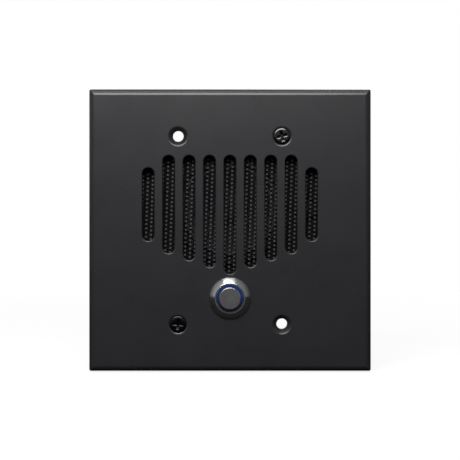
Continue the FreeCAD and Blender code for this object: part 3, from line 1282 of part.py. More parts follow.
NODES = {
    "faceplate": faceplate,
    "sound_screen": sound_screen,
    "mounting_screws": mounting_screws,
    "screw_retainers": screw_retainers,
    "switch_body": switch_body,
    "bezel_seal": bezel_seal,
    "light_ring": light_ring,
    "light_board": light_board,
    "light_chips": light_chips,
    "light_pins": light_pins,
    "button_cap": button_cap,
    "button_plunger": button_plunger,
    "retaining_clip": retaining_clip,
    "return_spring": return_spring,
    "moving_contact": moving_contact,
    "contact_tabs": contact_tabs,
    "switch_base": switch_base,
    "lock_washer": lock_washer,
    "switch_nut": switch_nut,
    "speaker_gasket": speaker_gasket,
    "speaker_frame": speaker_frame,
    "speaker_surround": speaker_surround,
    "speaker_cone": speaker_cone,
    "dust_cap": dust_cap,
    "coil_former": coil_former,
    "coil_winding": coil_winding,
    "speaker_spider": speaker_spider,
    "top_plate": top_plate,
    "ring_magnet": ring_magnet,
    "back_plate": back_plate,
    "tag_board": tag_board,
    "speaker_tags": speaker_tags,
    "microphone_boot": microphone_boot,
    "microphone_capsule": microphone_capsule,
    "speaker_bracket": speaker_bracket,
    "front_standoffs": lambda: standoffs(BRACKET_BACK_Y, BOARD_Y),
    "rear_standoffs": lambda: standoffs(BOARD_BACK_Y, HOUSING_WALL_Y),
    "circuit_board": circuit_board,
    "amplifier_chip": amplifier_chip,
    "capacitors": capacitors,
    "resistors": resistors,
    "volume_trimmer": volume_trimmer,
    "trimmer_rotor": trimmer_rotor,
    "terminal_block": terminal_block,
    "terminal_screws": terminal_screws,
    "wire_clamps": wire_clamps,
    "housing_seal": housing_seal,
    "rear_housing": rear_housing,
    "housing_screws": housing_screws,
    "lead_grommet": lead_grommet,
    "switch_leads": switch_leads,
    "speaker_leads": speaker_leads,
    "microphone_leads": microphone_leads,
}

os.makedirs("parts", exist_ok=True)
for node, make in NODES.items():
    made = make()
    shape = Part.makeCompound(made) if isinstance(made, list) else made
    print(f"{node}: {len(shape.Solids)} solids, {shape.Volume:.1f} mm3, valid {shape.isValid()}")
    shape.exportStep(f"parts/{node}.step")
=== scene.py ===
import math
import bmesh
import bpy
from mathutils import Matrix, Vector


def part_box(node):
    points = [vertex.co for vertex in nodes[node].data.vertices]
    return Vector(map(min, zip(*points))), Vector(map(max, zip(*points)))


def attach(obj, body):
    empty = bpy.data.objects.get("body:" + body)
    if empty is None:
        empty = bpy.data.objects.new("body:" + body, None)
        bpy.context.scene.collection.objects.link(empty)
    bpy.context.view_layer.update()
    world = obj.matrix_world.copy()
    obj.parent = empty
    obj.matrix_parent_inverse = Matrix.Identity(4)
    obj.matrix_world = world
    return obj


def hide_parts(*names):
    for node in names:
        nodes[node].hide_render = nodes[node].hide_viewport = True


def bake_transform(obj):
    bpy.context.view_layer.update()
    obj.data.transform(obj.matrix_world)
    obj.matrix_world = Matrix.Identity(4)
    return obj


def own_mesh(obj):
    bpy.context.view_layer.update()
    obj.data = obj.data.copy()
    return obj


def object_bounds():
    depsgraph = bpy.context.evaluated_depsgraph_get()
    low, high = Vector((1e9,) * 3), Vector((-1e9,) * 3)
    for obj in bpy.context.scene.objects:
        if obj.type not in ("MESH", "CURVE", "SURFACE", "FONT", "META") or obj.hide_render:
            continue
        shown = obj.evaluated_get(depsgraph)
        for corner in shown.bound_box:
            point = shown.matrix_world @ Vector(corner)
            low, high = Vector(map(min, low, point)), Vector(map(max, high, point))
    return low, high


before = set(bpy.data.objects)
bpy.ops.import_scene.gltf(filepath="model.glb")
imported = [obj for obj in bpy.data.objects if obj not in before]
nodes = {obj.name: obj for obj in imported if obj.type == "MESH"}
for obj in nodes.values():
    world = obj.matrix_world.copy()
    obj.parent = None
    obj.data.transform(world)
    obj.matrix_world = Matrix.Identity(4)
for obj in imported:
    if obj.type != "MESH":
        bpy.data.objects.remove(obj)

cad_box = [list(corner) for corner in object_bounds()]

# Faceplate: a machined aluminium square with nine sound slots, four countersunk holes and the switch hole. It
# is powder coated in satin black once all are cut, and the coat's skin has a fine even peel.
mm = 0.001


class Signal:
    """A node's output. Sums and products of signals and numbers add Math nodes."""

    def __init__(self, recipe, socket):
        self.recipe = recipe
        self.socket = socket

    def out(self, name):
        return Signal(self.recipe, self.socket.node.outputs[name])

    def math(self, operation, *values):
        return self.recipe.add("ShaderNodeMath", {"operation": operation}, dict(enumerate(values)))

    def __add__(self, other):
        return self.math("ADD", self, other)

    def __radd__(self, other):
        return self.math("ADD", other, self)

    def __sub__(self, other):
        return self.math("SUBTRACT", self, other)

    def __rsub__(self, other):
        return self.math("SUBTRACT", other, self)

    def __mul__(self, other):
        return self.math("MULTIPLY", self, other)

    def __rmul__(self, other):
        return self.math("MULTIPLY", other, self)

    def __truediv__(self, other):
        return self.math("DIVIDE", self, other)

    def __mod__(self, other):
        return self.math("FLOORED_MODULO", self, other)

    def __gt__(self, other):
        return self.math("GREATER_THAN", self, other)

    def __lt__(self, other):
        return self.math("LESS_THAN", self, other)

    def __abs__(self):
        return self.math("ABSOLUTE", self)

    def wave(self, pitch):
        """A sine from -1 to 1 that repeats at this pitch."""
        return self.math("SINE", self * (2 * math.pi / pitch))

    def root(self):
        return self.math("SQRT", self)

    def floor(self):
        return self.math("FLOOR", self)


class Recipe:
    """A node tree that is built up with add(): a node's settings come first, then what its sockets take."""

    def __init__(self, tree):
        self.tree = tree
        self.tree.nodes.clear()

    def add(self, kind, settings=None, inputs=None, output=0):
        node = self.tree.nodes.new(kind)
        for key, value in (settings or {}).items():
            setattr(node, key, value)
        for key, value in (inputs or {}).items():
            if isinstance(value, Signal):
                self.tree.links.new(value.socket, node.inputs[key])
            else:
                node.inputs[key].default_value = value
        return Signal(self, node.outputs[output]) if len(node.outputs) else None


class Finish(Recipe):
    """A procedural material on Object coordinates."""

    def __init__(self, name):
        self.material = bpy.data.materials.new(name)
        self.material.use_nodes = True
        super().__init__(self.material.node_tree)
        self.place = self.add("ShaderNodeTexCoord", output="Object")

    def grain(self, size, detail=2.0, stretch=None):
        """Noise from 0 to 1 with patches about this many metres across."""
        spot = self.place
        if stretch:
            spot = self.add("ShaderNodeMapping", inputs={"Vector": spot, "Scale": stretch})
        return self.add("ShaderNodeTexNoise", inputs={"Vector": spot, "Scale": 1.0 / size, "Detail": detail})

    def axis(self, name, start=0.0):
        """One Object coordinate, measured from start."""
        part = self.add("ShaderNodeSeparateXYZ", inputs={0: self.place}, output=name)
        return part - start if start else part

    def around(self, z):
        """Distance from an axis that runs along Y at this height."""
        dx = self.axis("X")
        dz = self.axis("Z", z)
        return (dx * dx + dz * dz).root()

    def blend(self, factor, first, second):
        return self.add("ShaderNodeMix", {"data_type": "RGBA"}, {0: factor, 6: first, 7: second}, output=2)

    def soft_step(self, value, low, high):
        return self.add("ShaderNodeMapRange", {"interpolation_type": "SMOOTHSTEP"},
                        {"Value": value, "From Min": low, "From Max": high})

    def surface(self, sockets, relief=None, depth=0.0):
        """Ends in one Principled shader; relief is a height from 0 to 1 over this depth in metres."""
        inputs = dict(sockets)
        if relief is not None:
            inputs["Normal"] = self.add("ShaderNodeBump", inputs={"Height": relief, "Distance": depth})
        shader = self.add("ShaderNodeBsdfPrincipled", inputs=inputs)
        self.add("ShaderNodeOutputMaterial", inputs={"Surface": shader})
        return self.material


def grey(value):
    return (value, value, value, 1.0)


def dress(material, *names):
    for name in names:
        nodes[name].material_slots[0].material = material


coat = Finish("satin_black_powder_coat")
peel = coat.grain(0.55 * mm, 3.0)
cloud = coat.grain(14 * mm, 3.0)
speck = coat.soft_step(coat.grain(0.22 * mm, 1.0), 0.66, 0.74)
plate_black = coat.blend(cloud, (0.0122, 0.0122, 0.0136, 1.0), (0.0160, 0.0160, 0.0176, 1.0))
plate_black = coat.blend(speck * 0.3, plate_black, (0.04, 0.04, 0.043, 1.0))
dress(coat.surface({
    "Base Color": plate_black,
    "Roughness": 0.235 + 0.05 * cloud + 0.05 * peel,
    "Specular IOR Level": 0.38,
}, peel, 6e-6), "faceplate")

# Sound screen: sheet steel, slit, stretched and lacquered black. Each bond is a slanted flat with sheared
# edges, and four twisted strands leave it for the bonds beside it. The sheet was cut a little askew, and it
# lies behind the slots, open round the plate's four bosses.
SCREEN_BOND_X = 2.21 * mm
SCREEN_BOND_Z = 1.863 * mm
SCREEN_TILT = math.radians(2.0)
SCREEN_SHIFT = 0.45 * mm
SCREEN_MARGIN_X = 1.2 * mm
SCREEN_MARGIN_Z = 0.8 * mm
BOND_SLANT = math.radians(18)
BOND_HALF_LENGTH = 0.44 * mm
BOND_HALF_HEIGHT = 0.58 * mm
BOND_END_SHARE = 0.94
BOND_EDGE_DROP = 0.7
BOND_CROWN = 0.04 * mm
STRAND_SLANT = math.radians(-45)
STRAND_WIDTH = 0.36 * mm
STRAND_THICKNESS = 0.24 * mm
STRAND_TWIST = 0.14 * mm
BOSS_X = 38.0 * mm
BOSS_HEIGHTS = (32.4 * mm, -14.8 * mm)
BOSS_CLEARANCE = 4.3 * mm


def skin(form, a, b):
    """Faces between two rings of vertices. A ring that repeats one vertex is a pole."""
    faces = []
    for i in range(len(a)):
        j = (i + 1) % len(a)
        corners = []
        for corner in (a[i], a[j], b[j], b[i]):
            if corner not in corners:
                corners.append(corner)
        if len(corners) > 2:
            faces.append(form.faces.new(corners))
    return faces


def finished(name, form):
    """The form as a mesh, with its faces turned outwards."""
    bmesh.ops.recalc_face_normals(form, faces=form.faces[:])
    mesh = bpy.data.meshes.new(name)
    form.to_mesh(mesh)
    form.free()
    return mesh


def bond_mesh():
    """One bond with half of each of its four strands, open where the next bond's strands go on."""
    t = STRAND_THICKNESS / 2
    half = STRAND_WIDTH / 2
    form = bmesh.new()

    def ring(x, z, slant, spots):
        """Vertices round the sheet at x, from (height along the sheet, depth out of it) spots."""
        across = Vector((0, math.sin(slant), math.cos(slant)))
        outward = Vector((0, -math.cos(slant), math.sin(slant)))
        return [form.verts.new(Vector((x, 0, z)) + across * u + outward * n) for u, n in spots]

    def flat(x, half_height, crown):
        """Eight vertices round the bond: five along its crowned front, three behind."""
        front = []
        for u in (-1, -0.75, 0, 0.75, 1):
            front.append((half_height * u, t * (1 - BOND_EDGE_DROP * u ** 8) + crown * (1 - u * u)))
        return ring(x, 0, BOND_SLANT, front + [(half_height, -0.4 * t), (0, -t), (-half_height, -t)])

    left = flat(-BOND_HALF_LENGTH, BOND_HALF_HEIGHT * BOND_END_SHARE, 0.0)
    middle = flat(0, BOND_HALF_HEIGHT, BOND_CROWN)
    right = flat(BOND_HALF_LENGTH, BOND_HALF_HEIGHT * BOND_END_SHARE, 0.0)
    skin(form, left, middle)
    skin(form, middle, right)
    edge = ((-half, 0.7 * t), (0, t), (half, 0.3 * t), (half, -0.5 * t), (-half, -t))
    bent = BOND_HALF_LENGTH + STRAND_TWIST
    for side, end in ((-1, left), (1, right)):
        for up, near in ((1, (2, 3, 4, 5, 6)), (-1, (0, 1, 2, 6, 7))):
            twist = ring(side * bent, up * BOND_HALF_HEIGHT / 2, STRAND_SLANT, edge)
            far = ring(side * SCREEN_BOND_X / 2, up * SCREEN_BOND_Z / 4, STRAND_SLANT, edge)
            skin(form, [end[i] for i in near], twist)
            skin(form, twist, far)
    return finished("bond", form)


def new_piece(name, mesh):
    piece = bpy.data.objects.new(name, mesh)
    bpy.context.collection.objects.link(piece)
    return piece


def shade(mesh, angle=40.0):
    """Smooth faces with edges kept sharper than this angle."""
    mesh.shade_smooth()
    mesh.set_sharp_from_angle(angle=math.radians(angle))


def settle(piece):
    """Keeps what the piece's modifiers make of its mesh, and removes them."""
    ready = piece.evaluated_get(bpy.context.evaluated_depsgraph_get())
    mesh = bpy.data.meshes.new_from_object(ready)
    piece.modifiers.clear()
    piece.data = mesh


class Growth(Recipe):
    """A Geometry Nodes tree with named inputs, run on one object and kept as its mesh."""

    def __init__(self, name, values):
        super().__init__(bpy.data.node_groups.new(name, "GeometryNodeTree"))
        sockets = self.tree.interface
        sockets.new_socket("Geometry", in_out="OUTPUT", socket_type="NodeSocketGeometry")
        self.values = []
        kinds = {float: "NodeSocketFloat", int: "NodeSocketInt", tuple: "NodeSocketVector",
                 bpy.types.Object: "NodeSocketObject", bpy.types.Material: "NodeSocketMaterial"}
        for key, value in values.items():
            item = sockets.new_socket(key, in_out="INPUT", socket_type=kinds[type(value)])
            self.values.append((item.identifier, value))
        self.entry = self.add("NodeGroupInput")

    def given(self, name):
        return self.entry.out(name)

    def end(self, geometry, material):
        whole = self.add("GeometryNodeRealizeInstances", inputs={"Geometry": geometry})
        done = self.add("GeometryNodeSetMaterial", inputs={"Geometry": whole, "Material": material})
        self.add("NodeGroupOutput", inputs={0: done})

    def grow(self, name):
        """The tree's result as a plain mesh object."""
        piece = new_piece(name, bpy.data.meshes.new(name))
        modifier = piece.modifiers.new(name, "NODES")
        modifier.node_group = self.tree
        for identifier, value in self.values:
            modifier[identifier] = value
        settle(piece)
        return piece


def mottled(name, patches, dark, light, roughness, sockets=None, relief=None, depth=0.0):
    """A finish that one noise mottles. patches holds its size, detail and stretch, and roughness the least
    value and the rise. The noise is its relief too, unless relief gives the size of a finer one."""
    finish = Finish(name)
    cloud = finish.grain(*patches)
    least, rise = roughness
    inputs = {"Base Color": finish.blend(cloud, dark, light), "Roughness": least + rise * cloud}
    inputs.update(sockets or {})
    height = finish.grain(relief) if relief else cloud if depth else None
    return finish.surface(inputs, height, depth)


screen_black = mottled("black_lacquered_mesh", (3 * mm,), grey(0.005), grey(0.008), (0.30, 0.08),
                       {"Specular IOR Level": 0.09})
screen_low, screen_high = (Vector(corner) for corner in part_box("sound_screen"))
screen_middle = (screen_low + screen_high) / 2
screen_half = (screen_high - screen_low) / 2
bond = new_piece("bond_pattern", bond_mesh())
columns = 2 * math.ceil(screen_half.x / SCREEN_BOND_X) + 3
rows = 2 * math.ceil(screen_half.z / SCREEN_BOND_Z) + 5
lattice = Growth("expanded_mesh", {
    "Bond": bond, "Column step": SCREEN_BOND_X, "Row step": SCREEN_BOND_Z, "Columns": columns, "Rows": rows,
    "Askew": SCREEN_TILT, "Middle": tuple(screen_middle + Vector((SCREEN_SHIFT, 0, 0))),
    "Half width": screen_half.x - SCREEN_MARGIN_X, "Half height": screen_half.z - SCREEN_MARGIN_Z,
    "Boss clearance": BOSS_CLEARANCE, "Lacquer": screen_black})
grid = lattice.add("GeometryNodeMeshGrid", inputs={
    "Size X": lattice.given("Column step") * (lattice.given("Columns") - 1),
    "Size Y": lattice.given("Row step") * (lattice.given("Rows") - 1),
    "Vertices X": lattice.given("Columns"), "Vertices Y": lattice.given("Rows")})
column = (lattice.add("GeometryNodeInputIndex") / lattice.given("Rows") + 0.0001).floor()
stagger = (column % 2) * lattice.given("Row step") * 0.5
staggered = lattice.add("GeometryNodeSetPosition", inputs={
    "Geometry": grid, "Offset": lattice.add("ShaderNodeCombineXYZ", inputs={"Y": stagger})})
turn = lattice.add("ShaderNodeCombineXYZ", inputs={"X": math.pi / 2, "Y": lattice.given("Askew")})
upright = lattice.add("GeometryNodeTransform", inputs={
    "Geometry": staggered, "Translation": lattice.given("Middle"), "Rotation": turn})
spot = lattice.add("ShaderNodeSeparateXYZ", inputs={0: lattice.add("GeometryNodeInputPosition")})
middle_z = lattice.add("ShaderNodeSeparateXYZ", inputs={0: lattice.given("Middle")}, output="Z")
outside = abs(spot) > lattice.given("Half width")
outside = outside + (abs(spot.out("Z") - middle_z) > lattice.given("Half height"))
for boss_x in (-BOSS_X, BOSS_X):
    for boss_z in BOSS_HEIGHTS:
        dx = spot - boss_x
        dz = spot.out("Z") - boss_z
        outside = outside + ((dx * dx + dz * dz).root() < lattice.given("Boss clearance"))
kept = lattice.add("GeometryNodeDeleteGeometry", {"domain": "POINT"}, {
    "Geometry": upright, "Selection": outside > 0.5})
pattern = lattice.add("GeometryNodeObjectInfo", inputs={"Object": lattice.given("Bond")}, output="Geometry")
tilted = lattice.add("ShaderNodeCombineXYZ", inputs={"Y": lattice.given("Askew")})
bonds = lattice.add("GeometryNodeInstanceOnPoints", inputs={
    "Points": kept, "Instance": pattern, "Rotation": tilted})
whole = lattice.add("GeometryNodeRealizeInstances", inputs={"Geometry": bonds})
joined = lattice.add("GeometryNodeMergeByDistance", inputs={"Geometry": whole, "Distance": 0.01 * mm})
lattice.end(joined, lattice.given("Lacquer"))
screen = lattice.grow("expanded_screen")
bpy.data.objects.remove(bond)
form = bmesh.new()
form.from_mesh(screen.data)
bmesh.ops.holes_fill(form, edges=[e for e in form.edges if e.is_boundary], sides=5)
form.to_mesh(screen.data)
form.free()
shade(screen.data, 20)
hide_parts("sound_screen")
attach(screen, "station")

# Mounting screws: two oval-head 6-32 machine screws of steel in black oxide, with a cross recess and a necked
# shank, so that a fibre washer keeps them captive. The lower one is made rougher and is painted darker, a
# painted shade for the light that falls off towards the bottom, and the plate's other two holes wait for
# theirs.
SCREW_PITCH = 25.4 / 32 * mm
SCREW_LENGTH = 25.4 * mm
THREAD_START = 1.55 * mm
THREAD_CREST = 1.74 * mm
THREAD_ROOT = 1.36 * mm
SINK_RADIUS = 4.1 * mm
SINK_TANGENT = math.tan(math.radians(41))
HEAD_RADIUS = 3.75 * mm
HEAD_DOME = 0.5 * mm
NECK_RADIUS = 1.35 * mm
NECK_END = 1.6 * mm
HOLE_X = 23.02 * mm
HOLE_Z = 41.67 * mm
FACE = -5.5 * mm


def turned(name, outline, segments):
    """A closed solid turned about the Y axis from (radius, y) points; ends on the axis are poles."""
    form = bmesh.new()
    rings = []
    for radius, y in outline:
        if radius < 1e-9:
            rings.append([form.verts.new((0, y, 0))] * segments)
            continue
        ring = []
        for i in range(segments):
            angle = 2 * math.pi * i / segments
            ring.append(form.verts.new((radius * math.cos(angle), y, radius * math.sin(angle))))
        rings.append(ring)
    closed = outline[0][0] > 1e-9 or outline[-1][0] > 1e-9
    for a, b in list(zip(rings, rings[1:])) + ([(rings[-1], rings[0])] if closed else []):
        skin(form, a, b)
    return finished(name, form)


def thread(name, crest, root, pitch, y0, y1, core, segments):
    """A helical thread from y0 to y1. It closes on a core radius inside it, or on the axis if core is 0."""
    form = bmesh.new()
    profile = ((0.0, root), (0.40 * pitch, crest), (0.56 * pitch, crest))
    steps = int(math.ceil((y1 - y0) / pitch + 2) * segments)
    rails = []
    for i in range(steps + 1):
        angle = 2 * math.pi * i / segments
        rail = []
        for offset, radius in profile:
            y = y0 - pitch + pitch * i / segments + offset
            if y <= y0 or y >= y1:
                y, radius = min(max(y, y0), y1), root
            rail.append(form.verts.new((radius * math.cos(angle), y, radius * math.sin(angle))))
        rails.append(rail)
    for i in range(steps):
        for k in (0, 1):
            form.faces.new((rails[i][k], rails[i + 1][k], rails[i + 1][k + 1], rails[i][k + 1]))
        if i + 1 + segments <= steps:
            form.faces.new((rails[i][2], rails[i + 1][2], rails[i + 1 + segments][0], rails[i + segments][0]))
    bmesh.ops.remove_doubles(form, verts=form.verts[:], dist=1e-7)
    bmesh.ops.dissolve_degenerate(form, edges=form.edges[:], dist=1e-7)
    loops = []
    for y in (y0, y1):
        ring = {}
        for vertex in form.verts:
            if abs(vertex.co.y - y) < 1e-8 and abs(math.hypot(vertex.co.x, vertex.co.z) - root) < 1e-7:
                ring[round(math.atan2(vertex.co.z, vertex.co.x), 4)] = vertex
        loops.append([ring[key] for key in sorted(ring)])
    if core:
        inner = []
        for loop in loops:
            ring = []
            for vertex in loop:
                scale = core / math.hypot(vertex.co.x, vertex.co.z)
                ring.append(form.verts.new((vertex.co.x * scale, vertex.co.y, vertex.co.z * scale)))
            inner.append(ring)
        for a, b in ((loops[0], inner[0]), (inner[0], inner[1]), (inner[1], loops[1])):
            if len(a) == len(b):
                skin(form, a, b)
    else:
        for loop in loops:
            form.faces.new(loop)
    return finished(name, form)


def cut_cross(piece, top, arm, width, depth, turn=0):
    """Cuts a cross recess with a bevelled mouth and tapered arms into the head, whose top lies at this y."""
    flare = 0.26 * mm
    fall = 0.15 * mm
    form = bmesh.new()
    rings = []
    for y, a, w in ((top - fall, arm + 2 * flare, width + 2 * flare), (top + fall, arm, width),
                    (top + depth, arm * 0.45, width * 0.7)):
        quarter = ((w, a), (w, w), (a, w))
        half = quarter + tuple((x, -z) for x, z in reversed(quarter))
        rings.append([form.verts.new((x, y, z)) for x, z in half + tuple((-x, -z) for x, z in half)])
    for above, below in zip(rings, rings[1:]):
        skin(form, above, below)
    form.faces.new(rings[0])
    form.faces.new(rings[-1])
    bmesh.ops.rotate(form, verts=form.verts[:], matrix=Matrix.Rotation(math.radians(turn), 3, "Y"))
    cutter = new_piece("cross_cutter", finished("cross", form))
    modifier = piece.modifiers.new("cross", "BOOLEAN")
    modifier.object = cutter
    modifier.operation = "DIFFERENCE"
    modifier.solver = "EXACT"
    settle(piece)
    bpy.data.objects.remove(cutter)


def assembled(name, parts, material, angle):
    """One shaded piece from (mesh, matrix) pairs, with doubled vertices of each kept apart."""
    form = bmesh.new()
    for mesh, matrix in parts:
        start = len(form.verts)
        form.from_mesh(mesh)
        form.verts.ensure_lookup_table()
        bmesh.ops.transform(form, matrix=matrix, verts=form.verts[start:])
    mesh = bpy.data.meshes.new(name)
    form.to_mesh(mesh)
    form.free()
    mesh.materials.append(material)
    shade(mesh, angle)
    return new_piece(name, mesh)


head_seat = FACE + (SINK_RADIUS - HEAD_RADIUS) / SINK_TANGENT - 0.02 * mm
head_top = head_seat - HEAD_DOME
crown = ((0, 0), (1.4, 0.003), (2.4, 0.01), (2.95, 0.03), (3.22, 0.07), (3.41, 0.13), (3.56, 0.22),
         (3.65, 0.32), (3.72, 0.42))
head_outline = [(x * mm, head_top + y * mm) for x, y in crown] + [
    (HEAD_RADIUS, head_seat), (HEAD_RADIUS - 0.04 * mm, head_seat + 0.05 * mm),
    (NECK_RADIUS, head_seat + (HEAD_RADIUS - NECK_RADIUS) / SINK_TANGENT),
    (NECK_RADIUS, NECK_END), (0, NECK_END)]
head = new_piece("screw_head", turned("screw_head", head_outline, 96))
cut_cross(head, head_top, arm=2.15 * mm, width=0.42 * mm, depth=1.4 * mm)
screw_end = head_seat + SCREW_LENGTH
tip_start = screw_end - 0.7 * mm
shank = thread("screw_thread", THREAD_CREST, THREAD_ROOT, SCREW_PITCH, THREAD_START, screw_end - 0.6 * mm,
               core=0, segments=24)
tip_outline = [(0, tip_start), (THREAD_ROOT, tip_start), (1.1 * mm, screw_end), (0, screw_end)]
tip = turned("screw_tip", tip_outline, 24)
black_oxide = Finish("black_oxide_steel")
oxide_cloud = black_oxide.grain(1.2 * mm, 3.0)
# The lower screw is rougher, and its colour is darkened as painted shade.
lower_rough_and_painted_shade = black_oxide.axis("Z") < 0.0
top_screw_oxide = black_oxide.blend(oxide_cloud, grey(0.042), grey(0.066))
oxide = black_oxide.surface({
    "Base Color": black_oxide.blend(lower_rough_and_painted_shade, top_screw_oxide, grey(0.023)),
    "Metallic": 1.0,
    "Roughness": 0.11 + 0.07 * oxide_cloud + 0.09 * lower_rough_and_painted_shade,
}, black_oxide.grain(0.12 * mm), 3e-6)
placed = []
for side, degrees in ((1, 15), (-1, -6)):
    turn = Matrix.Rotation(math.radians(-degrees), 4, "Y")
    place = Matrix.Translation((side * HOLE_X, 0, side * HOLE_Z)) @ turn
    placed += [(head.data, place), (shank, place), (tip, place)]
bpy.data.objects.remove(head)
screws = assembled("mounting_screw_pair", placed, oxide, 35)
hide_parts("mounting_screws")
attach(screws, "station")

# Screw retainers: two washers punched from red vulcanised fibre. They are pushed over the screws' threads
# behind the plate, and keep the screws from falling out.
dress(mottled("red_fibre", (0.5 * mm, 3.0, (1.0, 4.0, 1.0)), (0.30, 0.05, 0.03, 1), (0.42, 0.09, 0.05, 1),
              (0.55, 0.2), depth=1.5e-5), "screw_retainers")

# Switch body: turned from stainless bar in one piece. Its cone bezel stands on the plate, and its threaded
# barrel goes through. Turning leaves fine rings, brightest on the polished cone.
BUTTON_Z = -29.9 * mm
BEZEL_TOP = -8.3 * mm
BARREL_END = 10.0 * mm
BARREL_CREST = 7.94 * mm
BARREL_ROOT = 7.40 * mm
BARREL_PITCH = 1.0 * mm


def turned_steel(name, base, roughness, ring_pitch, ring_depth):
    """Stainless steel with the rings that a lathe leaves round the button's axis."""
    steel = Finish(name)
    rings = steel.around(BUTTON_Z).wave(ring_pitch) * 0.5 + 0.5
    streaks = steel.grain(0.4 * mm)
    smear = steel.grain(5 * mm, 3.0)
    return steel.surface({
        "Base Color": steel.blend(streaks, grey(base * 0.9), grey(base)),
        "Metallic": 1.0,
        "Roughness": roughness + 0.06 * rings + 0.08 * smear,
    }, rings, ring_depth)


bezel_steel = turned_steel("turned_stainless_bezel", 0.60, 0.13, 0.09 * mm, 0.3e-6)
body_outline = [
    (6.63 * mm, BEZEL_TOP), (6.69 * mm, BEZEL_TOP), (6.76 * mm, BEZEL_TOP + 0.02 * mm),
    (6.80 * mm, BEZEL_TOP + 0.06 * mm), (9.01 * mm, FACE - 0.87 * mm), (9.05 * mm, FACE - 0.80 * mm),
    (9.05 * mm, FACE - 0.04 * mm), (9.01 * mm, FACE), (BARREL_ROOT, FACE), (BARREL_ROOT, BARREL_END),
    (6.90 * mm, BARREL_END), (6.90 * mm, 3.5 * mm), (2.50 * mm, 3.5 * mm), (2.50 * mm, 1.5 * mm),
    (5.20 * mm, 1.5 * mm), (5.20 * mm, -4.64 * mm), (6.07 * mm, -4.64 * mm),
    (6.07 * mm, BEZEL_TOP + 0.02 * mm), (6.09 * mm, BEZEL_TOP)]
bezel_place = Matrix.Translation((0, 0, BUTTON_Z))
barrel_thread = thread("barrel_thread", BARREL_CREST, BARREL_ROOT - 0.02 * mm, BARREL_PITCH, -5.3 * mm,
                       9.9 * mm, core=7.1 * mm, segments=64)
bezel = assembled("switch_bezel_and_barrel", [
    (turned("bezel", body_outline, 128), bezel_place), (barrel_thread, bezel_place)], bezel_steel, 30)
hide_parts("switch_body")
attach(bezel, "station")

# Bezel seal: a ring moulded from black rubber, which the bezel presses on the plate to keep rain out. The
# housing's seal and the leads' grommet are of the same rubber.
black_rubber = mottled("black_rubber", (2 * mm, 4.0), grey(0.006), grey(0.014), (0.55, 0.2),
                       {"Specular IOR Level": 0.25}, relief=0.2 * mm, depth=8e-6)
dress(black_rubber, "bezel_seal", "housing_seal", "lead_grommet")

# Light ring: a turned ring of milky blue acrylic, set in the bezel round the cap, with four chips behind it.
# It glows by its own emission. Its colour and glow are painted brighter above and darker below, as painted
# shade where the cap shades its lower part.
glow = Finish("lit_blue_ring")
lamp_x = glow.axis("X")
lamp_z = glow.axis("Z", BUTTON_Z)
# Painted shade: the ring's colour and glow fall off towards the bottom, where the cap shades it.
painted_light_above = glow.soft_step(lamp_z, -5.2 * mm, 2.5 * mm)
patch = glow.soft_step(abs(lamp_x * lamp_z), 0.0, 16 * mm * mm)
milk = glow.grain(0.6 * mm)
glow_with_painted_shade = glow.blend(painted_light_above, (0.002, 0.003, 0.012, 1), (0.006, 0.034, 0.21, 1))
dress(glow.surface({
    "Base Color": glow.blend(painted_light_above, (0.0006, 0.001, 0.003, 1), (0.002, 0.009, 0.038, 1)),
    "Roughness": 0.3 + 0.1 * milk,
    "Specular IOR Level": 0.3,
    "Emission Color": glow.blend((patch * 0.3 + milk * 0.1) * painted_light_above, glow_with_painted_shade, (0.01, 0.05, 0.30, 1)),
    "Emission Strength": 0.25,
}), "light_ring")

# Light board, chips and pins: a ring-shaped board of glass epoxy with four white chips, and two tinned pins
# that bring its current through the barrel.
WEAVE_PITCH = 0.9 * mm
board_green = Finish("green_circuit_board")
weave = board_green.axis("X").wave(WEAVE_PITCH) * board_green.axis("Z").wave(WEAVE_PITCH) * 0.5 + 0.5
patchy = board_green.grain(6 * mm)
green_board = board_green.surface({
    "Base Color": board_green.blend(weave * 0.4 + patchy * 0.4, (0.006, 0.075, 0.028, 1),
                                    (0.012, 0.14, 0.05, 1)),
    "Roughness": 0.28 + 0.12 * patchy,
    "Coat Weight": 0.3,
}, weave, 4e-6)
dress(green_board, "light_board", "circuit_board")
dress(mottled("light_chip", (0.3 * mm,), (0.7, 0.75, 0.8, 1), (0.8, 0.84, 0.88, 1), (0.25, 0.1)),
      "light_chips")
tinned = mottled("tinned_brass", (0.8 * mm, 3.0), (0.56, 0.54, 0.48, 1), (0.72, 0.70, 0.65, 1), (0.28, 0.2),
                 {"Metallic": 1.0}, depth=6e-6)
dress(tinned, "light_pins", "moving_contact", "contact_tabs", "speaker_tags", "wire_clamps")

# Button cap: a stainless button turned with a rounded rim and a satin face. Its back is bored, and it is
# screwed to its plunger.
CAP_RADIUS = 4.8 * mm
CAP_ROUNDING = 0.22 * mm
CAP_FACE = -9.0 * mm
CAP_BACK = -6.4 * mm
BORE_RADIUS = 2.0 * mm
BORE_FLOOR = -8.2 * mm
cap_steel = turned_steel("satin_stainless_cap", 0.42, 0.20, 0.07 * mm, 0.5e-6)
cap_outline = [(0, CAP_FACE), (CAP_RADIUS - 0.28 * mm, CAP_FACE)]
for step in range(7):
    a = math.radians(15 * step)
    cap_outline.append((CAP_RADIUS - CAP_ROUNDING * (1 - math.sin(a)),
                        CAP_FACE + CAP_ROUNDING * (1 - math.cos(a))))
cap_outline += [(CAP_RADIUS, CAP_BACK), (BORE_RADIUS, CAP_BACK), (BORE_RADIUS, BORE_FLOOR), (0, BORE_FLOOR)]
cap = assembled("turned_button_cap", [(turned("cap", cap_outline, 96), bezel_place)], cap_steel, 30)
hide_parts("button_cap")
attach(cap, "button")
